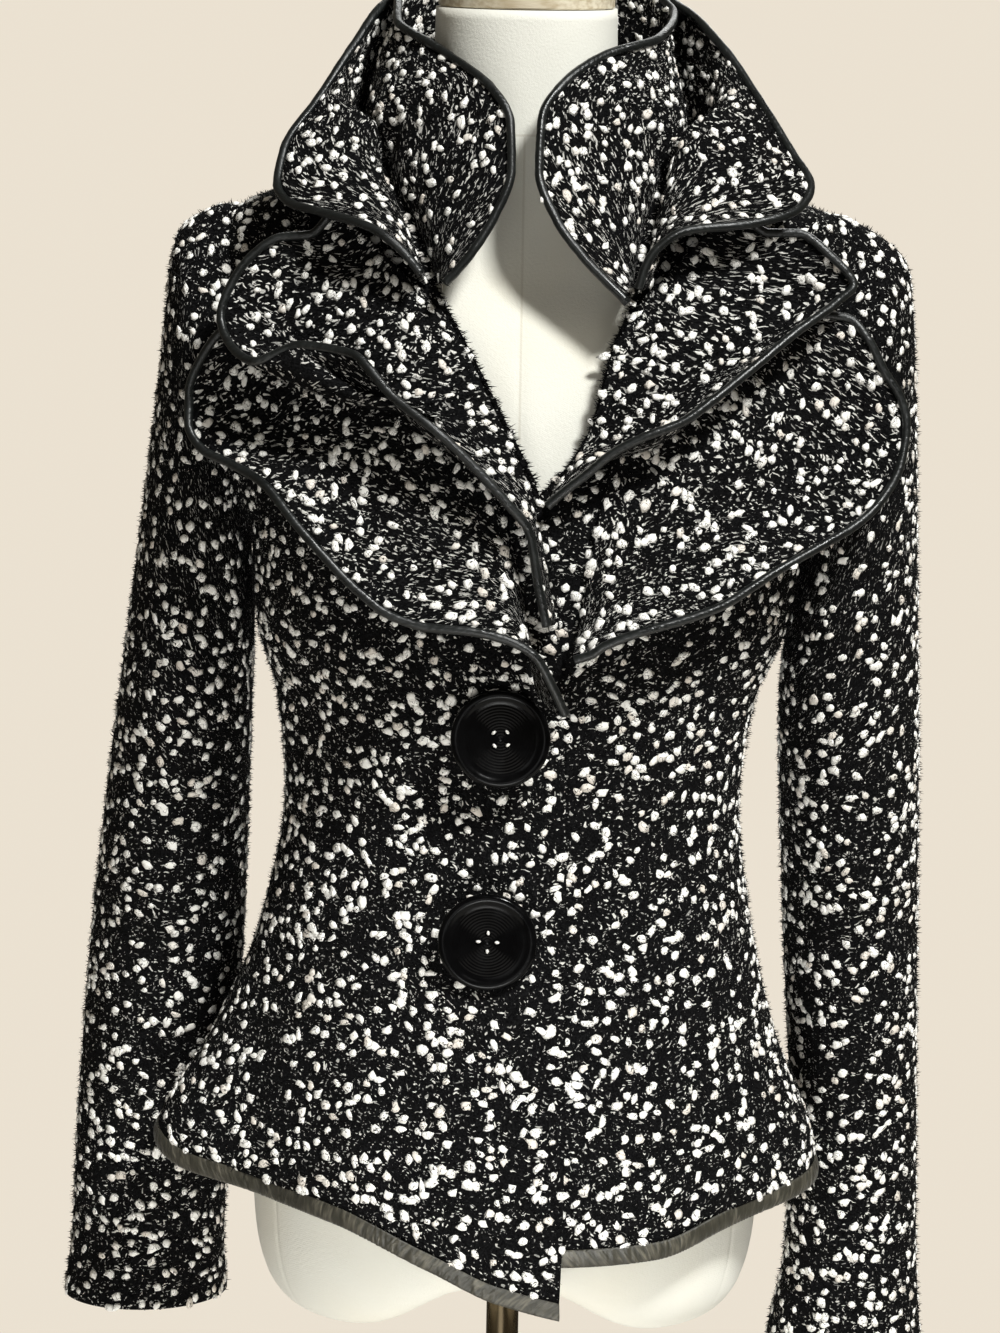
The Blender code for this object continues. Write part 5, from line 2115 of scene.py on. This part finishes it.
@dataclass(frozen=True)
class Lamp:
    """A soft square lamp, its light held within an angle."""

    name: str
    place: tuple[float, float, float]
    size: float
    watts: float
    aim: tuple[float, float, float] = TARGET
    spread: float = 180.0
    tint: tuple[float, float, float] = (0.98, 0.99, 0.97)

    def build(self) -> None:
        """Makes the lamp, turned to what it lights."""
        data = bpy.data.lights.new(self.name, "AREA")
        data.size = self.size
        data.energy = self.watts
        data.spread = math.radians(self.spread)
        data.color = self.tint
        made = bpy.data.objects.new(self.name, data)
        place = Vector(self.place)
        turn = (Vector(self.aim) - place).to_track_quat("-Z", "Y")
        made.matrix_world = Matrix.Translation(place) @ turn.to_matrix().to_4x4()
        bpy.context.scene.collection.objects.link(made)


@dataclass
class Studio:
    """Camera, lights, backdrop colour and floor.

    The camera stands where the photograph was taken from: its frame is as tall as the picture's
    height in pixels times the size of a pixel at the pole.
    """

    target: tuple[float, float, float] = TARGET
    distance: float = 2.9
    elevation: float = 9.0
    roll: float = 1.05
    pixel: float = 0.00055
    picture_height: int = 1333
    sensor: float = 36.0
    backdrop: tuple[float, float, float, float] = colour(0.83, 0.755, 0.64)
    fill: tuple[float, float, float, float] = colour(1.0, 0.89, 0.70)
    fill_strength: float = 0.125
    floor_radius: float = 1.5
    floor_sides: int = 96
    floor_drop: float = 0.0005
    lamps: tuple[Lamp, ...] = (
        Lamp("key", (1.9, -2.6, 4.9), 0.75, 350.0),
        Lamp("front", (-0.7, -3.4, 1.2), 1.8, 15.0),
        Lamp("behind", (0.4, 2.4, 2.6), 1.6, 30.0),
        Lamp("low", (0.0, -1.1, 0.30), 0.5, 0.95, (0.0, -0.1, 0.80), 44.0),
    )

    def build(self) -> None:
        """Makes the studio."""
        self.camera()
        for lamp in self.lamps:
            lamp.build()
        self.world()
        bm = bmesh.new()
        bmesh.ops.create_circle(bm, cap_ends=True, radius=self.floor_radius,
                                segments=self.floor_sides)
        floor = bpy.data.objects.new("floor", finish_bmesh("floor", bm))
        floor.data.materials.append(FloorFinish("pale floor", colour(0.80, 0.76, 0.70), 0.7).build())
        floor.data.transform(Matrix.Translation((0, 0, -self.floor_drop)))
        bpy.context.scene.collection.objects.link(floor)

    def camera(self) -> None:
        """Makes the camera, turned by the photograph's roll."""
        data = bpy.data.cameras.new("camera")
        data.sensor_width = self.sensor
        data.lens = self.sensor * self.distance / (self.picture_height * self.pixel)
        lean, tilt = math.radians(self.roll), math.radians(self.elevation)
        back = Vector((0, -math.cos(tilt), math.sin(tilt)))
        across = Vector((1, 0, 0))
        rise = back.cross(across)
        right = across * math.cos(lean) + rise * math.sin(lean)
        up = rise * math.cos(lean) - across * math.sin(lean)
        place = Vector(self.target) + back * self.distance
        made = bpy.data.objects.new("camera", data)
        made.matrix_world = Matrix.Translation(place) @ Matrix((right, up, back)).transposed().to_4x4()
        bpy.context.scene.collection.objects.link(made)
        bpy.context.scene.camera = made

    def world(self) -> None:
        """Sets the backdrop's colour and the soft light from all round."""
        world = bpy.data.worlds.new("studio")
        world.use_nodes = True
        nodes = Nodes(world.node_tree)
        plain = world.node_tree.nodes["Background"]
        plain.inputs["Color"].default_value = self.fill
        plain.inputs["Strength"].default_value = self.fill_strength
        wall = nodes.add("ShaderNodeBackground", {"Color": self.backdrop, "Strength": 1.0})
        seen = nodes.add("ShaderNodeLightPath").outputs["Is Camera Ray"]
        both = nodes.add("ShaderNodeMixShader", {0: seen, 1: plain.outputs[0], 2: wall.outputs[0]})
        out = world.node_tree.nodes["World Output"]
        world.node_tree.links.new(both.outputs[0], out.inputs["Surface"])
        bpy.context.scene.world = world
        bpy.context.scene.view_settings.view_transform = "Standard"


def main() -> None:
    """Builds the model in order."""
    logging.basicConfig(level=logging.INFO, format="%(name)s %(message)s")
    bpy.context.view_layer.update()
    wardrobe = Wardrobe()
    Studio().build()
    DressForm().build(wardrobe)
    Blazer().build(wardrobe)


if __name__ == "__main__":
    main()
